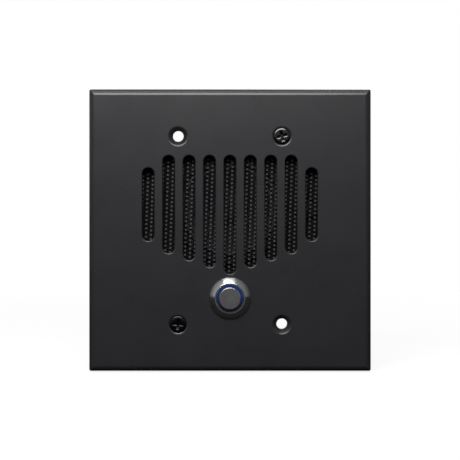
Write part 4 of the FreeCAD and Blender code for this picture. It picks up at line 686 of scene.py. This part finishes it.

# Inside the switch: a plunger and a base moulded from black plastic, and a snap clip and a coil spring of
# drawn steel wire. The spring stands between plunger and base. It is made at one length, though the real one
# flattens as the button goes in.
SPRING_RADIUS = 3.5 * mm
SPRING_WIRE = 0.25 * mm
black_plastic = mottled("black_moulded_plastic", (1.5 * mm, 3.0), grey(0.013), grey(0.022), (0.38, 0.15),
                        relief=0.15 * mm, depth=4e-6)
dress(black_plastic, "button_plunger", "switch_base", "amplifier_chip")
spring_steel = mottled("drawn_spring_steel", (0.3 * mm, 3.0), grey(0.42), grey(0.56), (0.22, 0.14),
                       {"Metallic": 1.0}, depth=3e-6)
dress(spring_steel, "retaining_clip")


def wound_wire(name, turns, length, radius, wire, sides, start, material):
    """Round wire wound in a helix along Y from start; wire is its own radius."""
    winding = Growth(name, {"Turns": float(turns), "Length": length, "Radius": radius, "Wire": wire,
                            "Sides": sides, "Start": start, "Material": material})
    helix = winding.add("GeometryNodeCurveSpiral", inputs={
        "Resolution": 40, "Rotations": winding.given("Turns"), "Start Radius": winding.given("Radius"),
        "End Radius": winding.given("Radius"), "Height": winding.given("Length")})
    laid = winding.add("GeometryNodeTransform", inputs={
        "Geometry": helix, "Translation": winding.given("Start"), "Rotation": (-math.pi / 2, 0.0, 0.0)})
    gauge = winding.add("GeometryNodeCurvePrimitiveCircle", inputs={
        "Resolution": winding.given("Sides"), "Radius": winding.given("Wire")})
    wound = winding.add("GeometryNodeCurveToMesh", inputs={
        "Curve": laid, "Profile Curve": gauge, "Fill Caps": True})
    winding.end(wound, winding.given("Material"))
    piece = winding.grow(name)
    shade(piece.data, 60)
    return piece


spring_low, spring_high = (Vector(corner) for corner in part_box("return_spring"))
spring_length = spring_high.y - spring_low.y
coil_spring = wound_wire("return_coil_spring", turns=4, length=spring_length - 2 * SPRING_WIRE,
                         radius=SPRING_RADIUS, wire=SPRING_WIRE, sides=10,
                         start=(0.0, spring_low.y + SPRING_WIRE, BUTTON_Z), material=spring_steel)
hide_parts("return_spring")
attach(coil_spring, "station")
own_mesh(coil_spring)

# Lock washer and nut: both of nickel-plated brass. The nut is turned on the barrel behind the plate, over the
# washer, and draws the bezel down. The board's standoffs are plated alike.
nickel = Finish("nickel_plated_brass")
turning = nickel.grain(0.25 * mm, 2.0, (1.0, 6.0, 1.0))
worn = nickel.soft_step(nickel.grain(2.2 * mm, 4.0), 0.55, 0.75)
nickel_plate = nickel.surface({
    "Base Color": nickel.blend(worn * 0.5, (0.60, 0.57, 0.51, 1), (0.58, 0.49, 0.33, 1)),
    "Metallic": 1.0, "Roughness": 0.2 + 0.1 * turning + 0.12 * worn}, turning, 3e-6)
dress(nickel_plate, "lock_washer", "switch_nut", "front_standoffs", "rear_standoffs")

# Speaker: a foam gasket seals it to the screen. Its zinc-plated steel basket carries the magnet with its
# plates, the corrugated spider, and a pressed paper cone with its dust cap. The surround of doped cloth is
# glued to basket and cone, and is made here in strips.
SPEAKER_Z = 10.0 * mm
ROLL_INNER = 19.4 * mm
ROLL_OUTER = 22.4 * mm
SURROUND_INNER = 18.2 * mm
CLOTH = 0.3 * mm
SECTORS = 20
foam = Finish("dark_grey_foam")
cells = foam.add("ShaderNodeTexVoronoi", inputs={"Vector": foam.place, "Scale": 1 / (0.35 * mm)})
dress(foam.surface({
    "Base Color": foam.blend(cells, grey(0.003), grey(0.010)),
    "Roughness": 0.8 + 0.15 * cells,
    "Specular IOR Level": 0.15,
}, cells, 4e-5), "speaker_gasket")
zinc = Finish("zinc_plated_steel")
spangle = zinc.add("ShaderNodeTexVoronoi", inputs={"Vector": zinc.place, "Scale": 1 / (2.4 * mm)},
                   output="Color")
spangle_tone = zinc.add("ShaderNodeSeparateXYZ", inputs={0: spangle})
rolled = zinc.grain(0.3 * mm, 3.0, (1.0, 1.0, 0.08))
zinc_plate = zinc.surface({
    "Base Color": zinc.blend(spangle_tone * 0.5 + rolled * 0.3, (0.50, 0.51, 0.53, 1), (0.66, 0.67, 0.69, 1)),
    "Metallic": 1.0, "Roughness": 0.26 + 0.14 * spangle_tone + 0.08 * rolled}, rolled, 3e-6)
dress(zinc_plate, "speaker_frame", "top_plate", "back_plate", "terminal_screws")
dress(mottled("black_zinc_steel", (2.2 * mm, 4.0), grey(0.003), grey(0.008), (0.45, 0.2),
              {"Specular IOR Level": 0.12}, depth=4e-6), "speaker_bracket")
paper = Finish("pressed_cone_paper")
fibres = paper.grain(0.35 * mm, 5.0)
cone_rings = paper.around(SPEAKER_Z).wave(1.6 * mm) * 0.5 + 0.5
dress(paper.surface({"Base Color": paper.blend(fibres, grey(0.004), grey(0.012)),
                     "Roughness": 0.75 + 0.2 * fibres}, fibres * 0.4 + cone_rings * 0.6, 6e-5),
      "speaker_cone", "dust_cap")


def cloth(name, dark, light, thread_pitch, roughness):
    """Plain weave, whose threads show as a fine check."""
    woven = Finish(name)
    warp = woven.axis("X").wave(thread_pitch)
    weft = woven.axis("Z").wave(thread_pitch)
    threads = warp * weft * 0.5 + 0.5
    dye = woven.grain(3 * mm, 3.0)
    return woven.surface({"Base Color": woven.blend(threads * 0.6 + dye * 0.4, dark, light),
                          "Roughness": roughness + 0.1 * dye}, threads, 5e-5)


surround_cloth = cloth("doped_surround_cloth", grey(0.003), grey(0.009), 0.5 * mm, 0.6)
surround_low, surround_high = (Vector(corner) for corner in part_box("speaker_surround"))
edge_y = surround_high.y
roll_front = []
roll_back = []
for step in range(13):
    share = step / 12
    rise = math.sin(math.pi * share) * (edge_y - surround_low.y - CLOTH)
    roll_front.append((ROLL_INNER + (ROLL_OUTER - ROLL_INNER) * share, edge_y - CLOTH - rise))
    inset = (ROLL_OUTER - ROLL_INNER - 2 * CLOTH) * share + CLOTH
    roll_back.append((ROLL_INNER + inset, edge_y - rise))
cloth_outline = [(SURROUND_INNER, edge_y - CLOTH)] + roll_front + [
    (surround_high.x, edge_y - CLOTH), (surround_high.x, edge_y)] + roll_back[::-1] + [
    (SURROUND_INNER, edge_y)]
for sector in range(SECTORS):
    form = bmesh.new()
    rings = []
    for part in range(5):
        angle = 2 * math.pi * (sector + part / 4) / SECTORS
        rings.append([form.verts.new((r * math.cos(angle), y, SPEAKER_Z + r * math.sin(angle)))
                      for r, y in cloth_outline])
    form.faces.new(rings[0])
    form.faces.new(rings[-1])
    for a, b in zip(rings, rings[1:]):
        skin(form, a, b)
    strip = finished(f"surround_sector_{sector + 1}", form)
    strip.materials.append(surround_cloth)
    shade(strip)
    piece = new_piece(strip.name, strip)
    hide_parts("speaker_surround")
    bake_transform(piece)
dress(cloth("spider_cloth", (0.30, 0.15, 0.035, 1), (0.52, 0.30, 0.09, 1), 0.7 * mm, 0.7), "speaker_spider")
dress(mottled("amber_former_film", (2 * mm,), (0.28, 0.09, 0.012, 1), (0.38, 0.14, 0.025, 1), (0.18, 0.1)),
      "coil_former")
dress(mottled("pressed_ferrite", (0.4 * mm, 5.0), grey(0.025), grey(0.06), (0.5, 0.25), depth=2e-5),
      "ring_magnet")
dress(mottled("phenolic_tag_board", (0.6 * mm, 4.0, (1.0, 5.0, 1.0)), (0.16, 0.07, 0.025, 1),
              (0.28, 0.14, 0.06, 1), (0.45, 0.2), depth=8e-6), "tag_board")

# Coil winding: one layer of enamelled copper wire, wound turn on turn on the film former. It moves in the
# magnet's gap with the cone.
COIL_RADIUS = 6.62 * mm
COIL_WIRE = 0.2 * mm
copper_red = mottled("enamelled_copper", (0.6 * mm,), (0.42, 0.13, 0.05, 1), (0.60, 0.22, 0.09, 1),
                     (0.2, 0.1), {"Metallic": 1.0, "Coat Weight": 0.6})
coil_low, coil_high = (Vector(corner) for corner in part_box("coil_winding"))
coil_turns = int((coil_high.y - coil_low.y) / (2 * COIL_WIRE))
coil = wound_wire("copper_coil_turns", turns=coil_turns, length=coil_high.y - coil_low.y - 2 * COIL_WIRE,
                  radius=COIL_RADIUS, wire=COIL_WIRE, sides=6,
                  start=(0.0, coil_low.y + COIL_WIRE, SPEAKER_Z), material=copper_red)
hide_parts("coil_winding")
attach(coil, "cone")

# Microphone: an electret capsule in a drawn aluminium can, held in the bracket by its boot of soft dull
# silicone rubber. Black felt is glued over its front against dust.
FELT = 0.15 * mm
dress(mottled("dull_black_silicone", (1.5 * mm, 3.0), grey(0.002), grey(0.005), (0.7, 0.2),
              {"Specular IOR Level": 0.12}), "microphone_boot")
can = Finish("drawn_aluminium_and_felt")
can_low = Vector(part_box("microphone_capsule")[0])
can_grain = can.grain(0.2 * mm, 2.0, (1.0, 0.1, 1.0))
bare = can.axis("Y", can_low.y) > FELT
felt = can.blend(can.grain(0.25 * mm, 3.0), grey(0.003), grey(0.008))
dress(can.surface({"Base Color": can.blend(bare, felt, can.blend(can_grain, grey(0.58), grey(0.74))),
                   "Metallic": bare, "Roughness": 0.9 - bare * (0.68 - 0.12 * can_grain)}, can_grain, 3e-6),
      "microphone_capsule")

# Circuit board pieces: sleeved cans, banded resistors, the blue volume trimmer with its white rotor, and the
# green terminal block on the line's side.
sleeve = Finish("capacitor_sleeve")
shrink = sleeve.grain(1.2 * mm)
can_stripe = sleeve.soft_step(sleeve.axis("Z") % (2.0 * mm), 0.9 * mm, 1.0 * mm)
dress(sleeve.surface({"Base Color": sleeve.blend(shrink, (0.010, 0.012, 0.030, 1), (0.018, 0.022, 0.050, 1)),
                      "Roughness": 0.25 + 0.1 * shrink + 0.03 * can_stripe}), "capacitors")
resistor = Finish("banded_resistor")
along = resistor.axis("Z", 10.0 * mm)
body_mask = resistor.soft_step(abs(along), 3.12 * mm, 3.08 * mm)
bands = resistor.blend(resistor.grain(0.5 * mm), (0.48, 0.34, 0.18, 1), (0.58, 0.43, 0.25, 1))
for offset, colour in ((-2.2, (0.30, 0.10, 0.02, 1)), (-1.0, (0.01, 0.01, 0.01, 1)),
                       (0.2, (0.55, 0.03, 0.02, 1)), (1.9, (0.55, 0.38, 0.10, 1))):
    bands = resistor.blend(abs(along - offset * mm) < 0.25 * mm, bands, colour)
dress(resistor.surface({"Base Color": resistor.blend(body_mask, (0.62, 0.61, 0.58, 1), bands),
                        "Metallic": 1.0 - body_mask, "Roughness": 0.35}), "resistors")
dress(mottled("blue_trimmer_case", (1.0 * mm,), (0.012, 0.055, 0.28, 1), (0.02, 0.085, 0.38, 1), (0.3, 0.1),
              relief=0.12 * mm, depth=3e-6), "volume_trimmer")
dress(mottled("white_rotor", (1.2 * mm, 4.0), (0.62, 0.60, 0.55, 1), (0.78, 0.77, 0.73, 1), (0.42, 0.12),
              depth=5e-6), "trimmer_rotor")
dress(mottled("green_terminal_block", (2.0 * mm, 3.0), (0.012, 0.15, 0.045, 1), (0.02, 0.21, 0.065, 1),
              (0.38, 0.12), relief=0.14 * mm, depth=5e-6), "terminal_block")

# Rear housing: a moulded black shell over the electronics. Its mould was spark eroded, so its skin is an even
# fine grain, and it presses its rubber seal on the screen's edge.
shell = Finish("textured_black_housing")
spark = shell.grain(0.32 * mm, 3.0)
sheen = shell.grain(18 * mm)
dress(shell.surface({"Base Color": shell.blend(spark * 0.6 + sheen * 0.4, grey(0.014), grey(0.030)),
                     "Roughness": 0.46 + 0.12 * sheen + 0.08 * spark}, spark, 2.4e-5), "rear_housing")

# Housing screws: four steel pan heads with a cross recess, plated with zinc. They go through the housing's
# back into the rear standoffs, with their heads sunk a little in it.
COVER_SEAT = 32.9 * mm
PAN_HEIGHT = 1.9 * mm
pan = ((0, 1.9), (0.9, 1.88), (1.6, 1.74), (2.2, 1.42), (2.6, 0.95), (2.75, 0.45), (2.75, 0.06), (2.70, 0),
       (1.5, 0), (1.5, -5.6), (1.1, -6.0), (0, -6.0))
pan_outline = [(radius * mm, COVER_SEAT + y * mm) for radius, y in pan]
pan_head = new_piece("pan_head_pattern", turned("pan_head", pan_outline, 48))
flip = Matrix.Translation((0, 2 * COVER_SEAT + PAN_HEIGHT, 0)) @ Matrix.Rotation(math.pi, 4, "X")
pan_head.data.transform(flip)
cut_cross(pan_head, COVER_SEAT, arm=1.5 * mm, width=0.7 * mm, depth=1.15 * mm, turn=45)
pan_head.data.transform(flip.inverted())
screw_row = Growth("cover_screws", {
    "Screw": pan_head, "Across": 2 * BOSS_X, "Up": BOSS_HEIGHTS[0] - BOSS_HEIGHTS[1],
    "Middle": (0.0, 0.0, sum(BOSS_HEIGHTS) / 2), "Plating": zinc_plate})
corners = screw_row.add("GeometryNodeMeshGrid", inputs={
    "Size X": screw_row.given("Across"), "Size Y": screw_row.given("Up"), "Vertices X": 2, "Vertices Y": 2})
standing = screw_row.add("GeometryNodeTransform", inputs={
    "Geometry": corners, "Translation": screw_row.given("Middle"), "Rotation": (math.pi / 2, 0.0, 0.0)})
screw = screw_row.add("GeometryNodeObjectInfo", inputs={"Object": screw_row.given("Screw")},
                      output="Geometry")
driven = screw_row.add("FunctionNodeRandomValue", {"data_type": "FLOAT_VECTOR"}, {
    "Min": (0.0, -0.6, 0.0), "Max": (0.0, 0.6, 0.0), "Seed": 7}, output="Value")
set_of_four = screw_row.add("GeometryNodeInstanceOnPoints", inputs={
    "Points": standing, "Instance": screw, "Rotation": driven})
screw_row.end(set_of_four, screw_row.given("Plating"))
cover_screws = screw_row.grow("cover_screw_set")
bpy.data.objects.remove(pan_head)
shade(cover_screws.data, 35)
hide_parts("housing_screws")
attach(cover_screws, "station")

# Leads: stranded wire in soft coloured sleeves, soldered to the switch's tabs, the speaker's tags and the
# microphone. The switch's four gather and enter the housing through its grommet.
LEAD_RADIUS = 0.55 * mm
LEAD_SIDES = 14
SOLDER_CONE = ((0.0, 0.95), (0.25, 0.9), (0.6, 0.72), (0.9, 0.6))


def smooth_route(points):
    """The points of a smooth curve drawn by these control points, in millimetres."""
    curve = bpy.data.curves.new("route", "CURVE")
    curve.dimensions = "3D"
    curve.resolution_u = 10
    spline = curve.splines.new("NURBS")
    spline.points.add(len(points) - 1)
    for point, spot in zip(spline.points, points):
        point.co = (*(c * mm for c in spot), 1.0)
    spline.order_u = 3
    spline.use_endpoint_u = True
    holder = new_piece("route", curve)
    line = bpy.data.meshes.new_from_object(holder.evaluated_get(bpy.context.evaluated_depsgraph_get()))
    route = [vertex.co.copy() for vertex in line.vertices]
    bpy.data.objects.remove(holder)
    return route


def add_tube(form, route, radii, slot):
    """A closed tube along a route, with a radius for each point, in one material slot."""
    side = Vector((1, 0, 0)) if abs((route[1] - route[0]).normalized().x) < 0.9 else Vector((0, 0, 1))
    rings = []
    for index, point in enumerate(route):
        ahead = route[min(index + 1, len(route) - 1)] - route[max(index - 1, 0)]
        ahead.normalize()
        side = (side - ahead * side.dot(ahead)).normalized()
        other = ahead.cross(side)
        ring = []
        for i in range(LEAD_SIDES):
            angle = 2 * math.pi * i / LEAD_SIDES
            outward = side * math.cos(angle) + other * math.sin(angle)
            ring.append(form.verts.new(point + radii[index] * outward))
        rings.append(ring)
    faces = [form.faces.new(list(reversed(rings[0]))), form.faces.new(rings[-1])]
    for a, b in zip(rings, rings[1:]):
        faces += skin(form, a, b)
    for face in faces:
        face.material_index = slot


def lead_set(name, node, routes):
    """Sleeved leads with a solder cone at each end; a route is (points, colour slot)."""
    form = bmesh.new()
    for points, colour in routes:
        route = smooth_route(points)
        add_tube(form, route, [LEAD_RADIUS] * len(route), colour)
        for end, inward in ((route[0], route[1] - route[0]), (route[-1], route[-2] - route[-1])):
            inward.normalize()
            cone = [end + inward * (along * mm) for along, _ in SOLDER_CONE]
            add_tube(form, cone, [radius * mm for _, radius in SOLDER_CONE], SOLDER)
    piece = new_piece(name, finished(name, form))
    for material in lead_colours:
        piece.data.materials.append(material)
    shade(piece.data, 50)
    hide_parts(node)
    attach(piece, "station")


def sleeve_finish(name, colour):
    darker = tuple(c * 0.75 for c in colour) + (1.0,)
    return mottled(name, (1.5 * mm, 3.0), darker, colour + (1.0,), (0.32, 0.15), relief=0.3 * mm, depth=4e-6)


RED, BLACK, BLUE, WHITE, SOLDER = range(5)
lead_colours = [
    sleeve_finish("red_sleeve", (0.42, 0.02, 0.015)), sleeve_finish("black_sleeve", (0.018, 0.018, 0.018)),
    sleeve_finish("blue_sleeve", (0.02, 0.08, 0.40)), sleeve_finish("white_sleeve", (0.66, 0.66, 0.64)),
    mottled("bright_solder", (0.4 * mm, 3.0), grey(0.55), grey(0.70), (0.25, 0.2), {"Metallic": 1.0},
            depth=1.5e-5)]
# Routes are in millimetres. The switch's leads run along RUN_Y, and enter the housing at GROMMET_Z.
BUTTON_HEIGHT = BUTTON_Z / mm
TAB_Y = 20.5
RUN_Y = 27.2
GROMMET_Y = 22.6
GROMMET_Z = -13.0
switch_routes = []
for side, colour in ((-1, RED), (1, BLACK)):
    gathered = side * 1.3
    switch_routes.append((((side * 3.2, TAB_Y, BUTTON_HEIGHT), (side * 3.2, RUN_Y, BUTTON_HEIGHT),
                           (gathered, RUN_Y, -21.8), (gathered, RUN_Y, GROMMET_Z),
                           (gathered, GROMMET_Y, GROMMET_Z)), colour))
for side, colour in ((-1, WHITE), (1, BLUE)):
    pin_z = BUTTON_HEIGHT + side * 5.55
    bend_y = RUN_Y - side * 1.3
    gathered = GROMMET_Z - side * 1.6
    switch_routes.append((((0, TAB_Y, pin_z), (0, bend_y, pin_z), (0, bend_y, gathered),
                           (0, GROMMET_Y, gathered)), colour))
lead_set("switch_lead_set", "switch_leads", switch_routes)
TAG_X = -22.5
TAG_Y = 9.8
BOARD_Y = 21.0
speaker_routes = []
for side, colour in ((-1, BLACK), (1, RED)):
    tag_z = SPEAKER_Z / mm + side * 2.3
    board_z = SPEAKER_Z / mm + side * 3.8
    speaker_routes.append((((TAG_X, TAG_Y, tag_z), (TAG_X, TAG_Y + 4.0, tag_z), (TAG_X - 2.5, 17.5, board_z),
                            (TAG_X - 2.5, BOARD_Y, board_z)), colour))
lead_set("speaker_lead_pair", "speaker_leads", speaker_routes)
MICROPHONE_X = 34.2
MICROPHONE_Z = 11.47
microphone_routes = []
for side, colour in ((-1, BLACK), (1, WHITE)):
    pin_x = MICROPHONE_X + side * 1.3
    board_x = MICROPHONE_X + side * 2.3
    microphone_routes.append((((pin_x, 6.9, MICROPHONE_Z), (pin_x, 11.4, MICROPHONE_Z),
                               (board_x, 16.0, 13.97), (board_x, BOARD_Y, 13.97)), colour))
lead_set("microphone_lead_pair", "microphone_leads", microphone_routes)

# Floor: a pale plain board under the plate's lower edge. What the camera sees of it is near white, and it
# keeps the shadow.
FLOOR_Z = cad_box[0][2] - 0.5 * mm
FLOOR_HALF = 4
floor_corners = [(x * FLOOR_HALF, y * FLOOR_HALF, FLOOR_Z) for x, y in ((-1, -1), (1, -1), (1, 1), (-1, 1))]
floor = new_piece("floor", bpy.data.meshes.new("floor"))
floor.data.from_pydata(floor_corners, [], [(0, 1, 2, 3)])
pale = Finish("pale_floor")
scuff = pale.grain(0.08)
matt = pale.add("ShaderNodeBsdfDiffuse", inputs={"Color": pale.blend(scuff, grey(0.80), grey(0.84))})
dim = pale.add("ShaderNodeBsdfDiffuse", inputs={"Color": grey(0.02)})
bright = pale.add("ShaderNodeEmission", inputs={"Color": grey(1.0)})
seen = pale.add("ShaderNodeLightPath", output="Is Camera Ray")
floor_x = pale.axis("X")
floor_y = pale.axis("Y")
away = pale.soft_step((floor_x * floor_x + floor_y * floor_y).root(), 0.12, 0.45)
shown = pale.add("ShaderNodeMixShader", inputs={0: 0.85 + 0.15 * away, 1: matt, 2: bright})
both = pale.add("ShaderNodeMixShader", inputs={0: seen, 1: dim, 2: shown})
pale.add("ShaderNodeOutputMaterial", inputs={"Surface": both})
floor.data.materials.append(pale.material)

# Studio: one large soft box above the camera lights the front, a strip over the plate catches the bezel's
# rim, and a low fill reaches the back. The world is white to the camera and dim to the object.


def lamp(name, place, width, height, radiance):
    """A soft box that faces the object from this place; its level is its radiance."""
    light = bpy.data.lights.new(name, "AREA")
    light.shape = "RECTANGLE"
    light.size = width
    light.size_y = height
    light.energy = radiance * math.pi * width * height
    box = bpy.data.objects.new(name, light)
    bpy.context.collection.objects.link(box)
    box.location = place
    box.rotation_euler = (-Vector(place)).to_track_quat("-Z", "Y").to_euler()


def direction(elevation, azimuth, distance):
    """A place seen from the origin: azimuth 0 is in front, on the camera's side."""
    e, a = math.radians(elevation), math.radians(azimuth)
    reach = distance * math.cos(e)
    return (reach * math.sin(a), -reach * math.cos(a), distance * math.sin(e))


lamp("front_soft_box", direction(38.5, -12, 0.42), width=0.38, height=0.24, radiance=10.5)
lamp("overhead_strip", direction(79, -20, 0.55), width=0.44, height=0.20, radiance=2.8)
lamp("rear_fill", direction(38, 150, 0.70), width=0.50, height=0.50, radiance=2.4)
world = bpy.data.worlds.new("studio")
world.use_nodes = True
bpy.context.scene.world = world
sky = Recipe(world.node_tree)
way = sky.add("ShaderNodeSeparateXYZ", inputs={0: sky.add("ShaderNodeTexCoord", output="Generated")})
up = sky.add("ShaderNodeMapRange", inputs={"Value": way.out("Z"), "From Min": -0.098, "From Max": -0.068})
ahead = sky.add("ShaderNodeMapRange", inputs={"Value": way.out("Y"), "From Min": -0.80, "From Max": -0.98})
room = 0.03 + up * (0.29 - 0.10 * way) + ahead * 0.09
camera_ray = sky.add("ShaderNodeLightPath", output="Is Camera Ray")
level = room + camera_ray * (1.0 - room)
sky.add("ShaderNodeOutputWorld", inputs={"Surface": sky.add("ShaderNodeBackground", inputs={
    "Color": grey(1.0), "Strength": level})})

# Camera: square on to the plate and a little above its middle; the lens is shifted down so that the plate
# stays in the middle of the frame, as in the photograph.
CAMERA_HEIGHT = 0.020
CAMERA_DISTANCE = 0.500
FRAME_WIDTH = 0.2036
SENSOR_WIDTH = 36
camera = bpy.data.cameras.new("camera")
camera.sensor_width = SENSOR_WIDTH
camera.lens = SENSOR_WIDTH * CAMERA_DISTANCE / FRAME_WIDTH
camera.shift_y = -0.0976
camera.clip_start = 0.01
tripod = bpy.data.objects.new("camera", camera)
tripod.location = (0, FACE - CAMERA_DISTANCE, CAMERA_HEIGHT)
tripod.rotation_euler = (math.pi / 2, 0, 0)
bpy.context.collection.objects.link(tripod)
bpy.context.scene.camera = tripod
bpy.context.scene.view_settings.view_transform = "Standard"
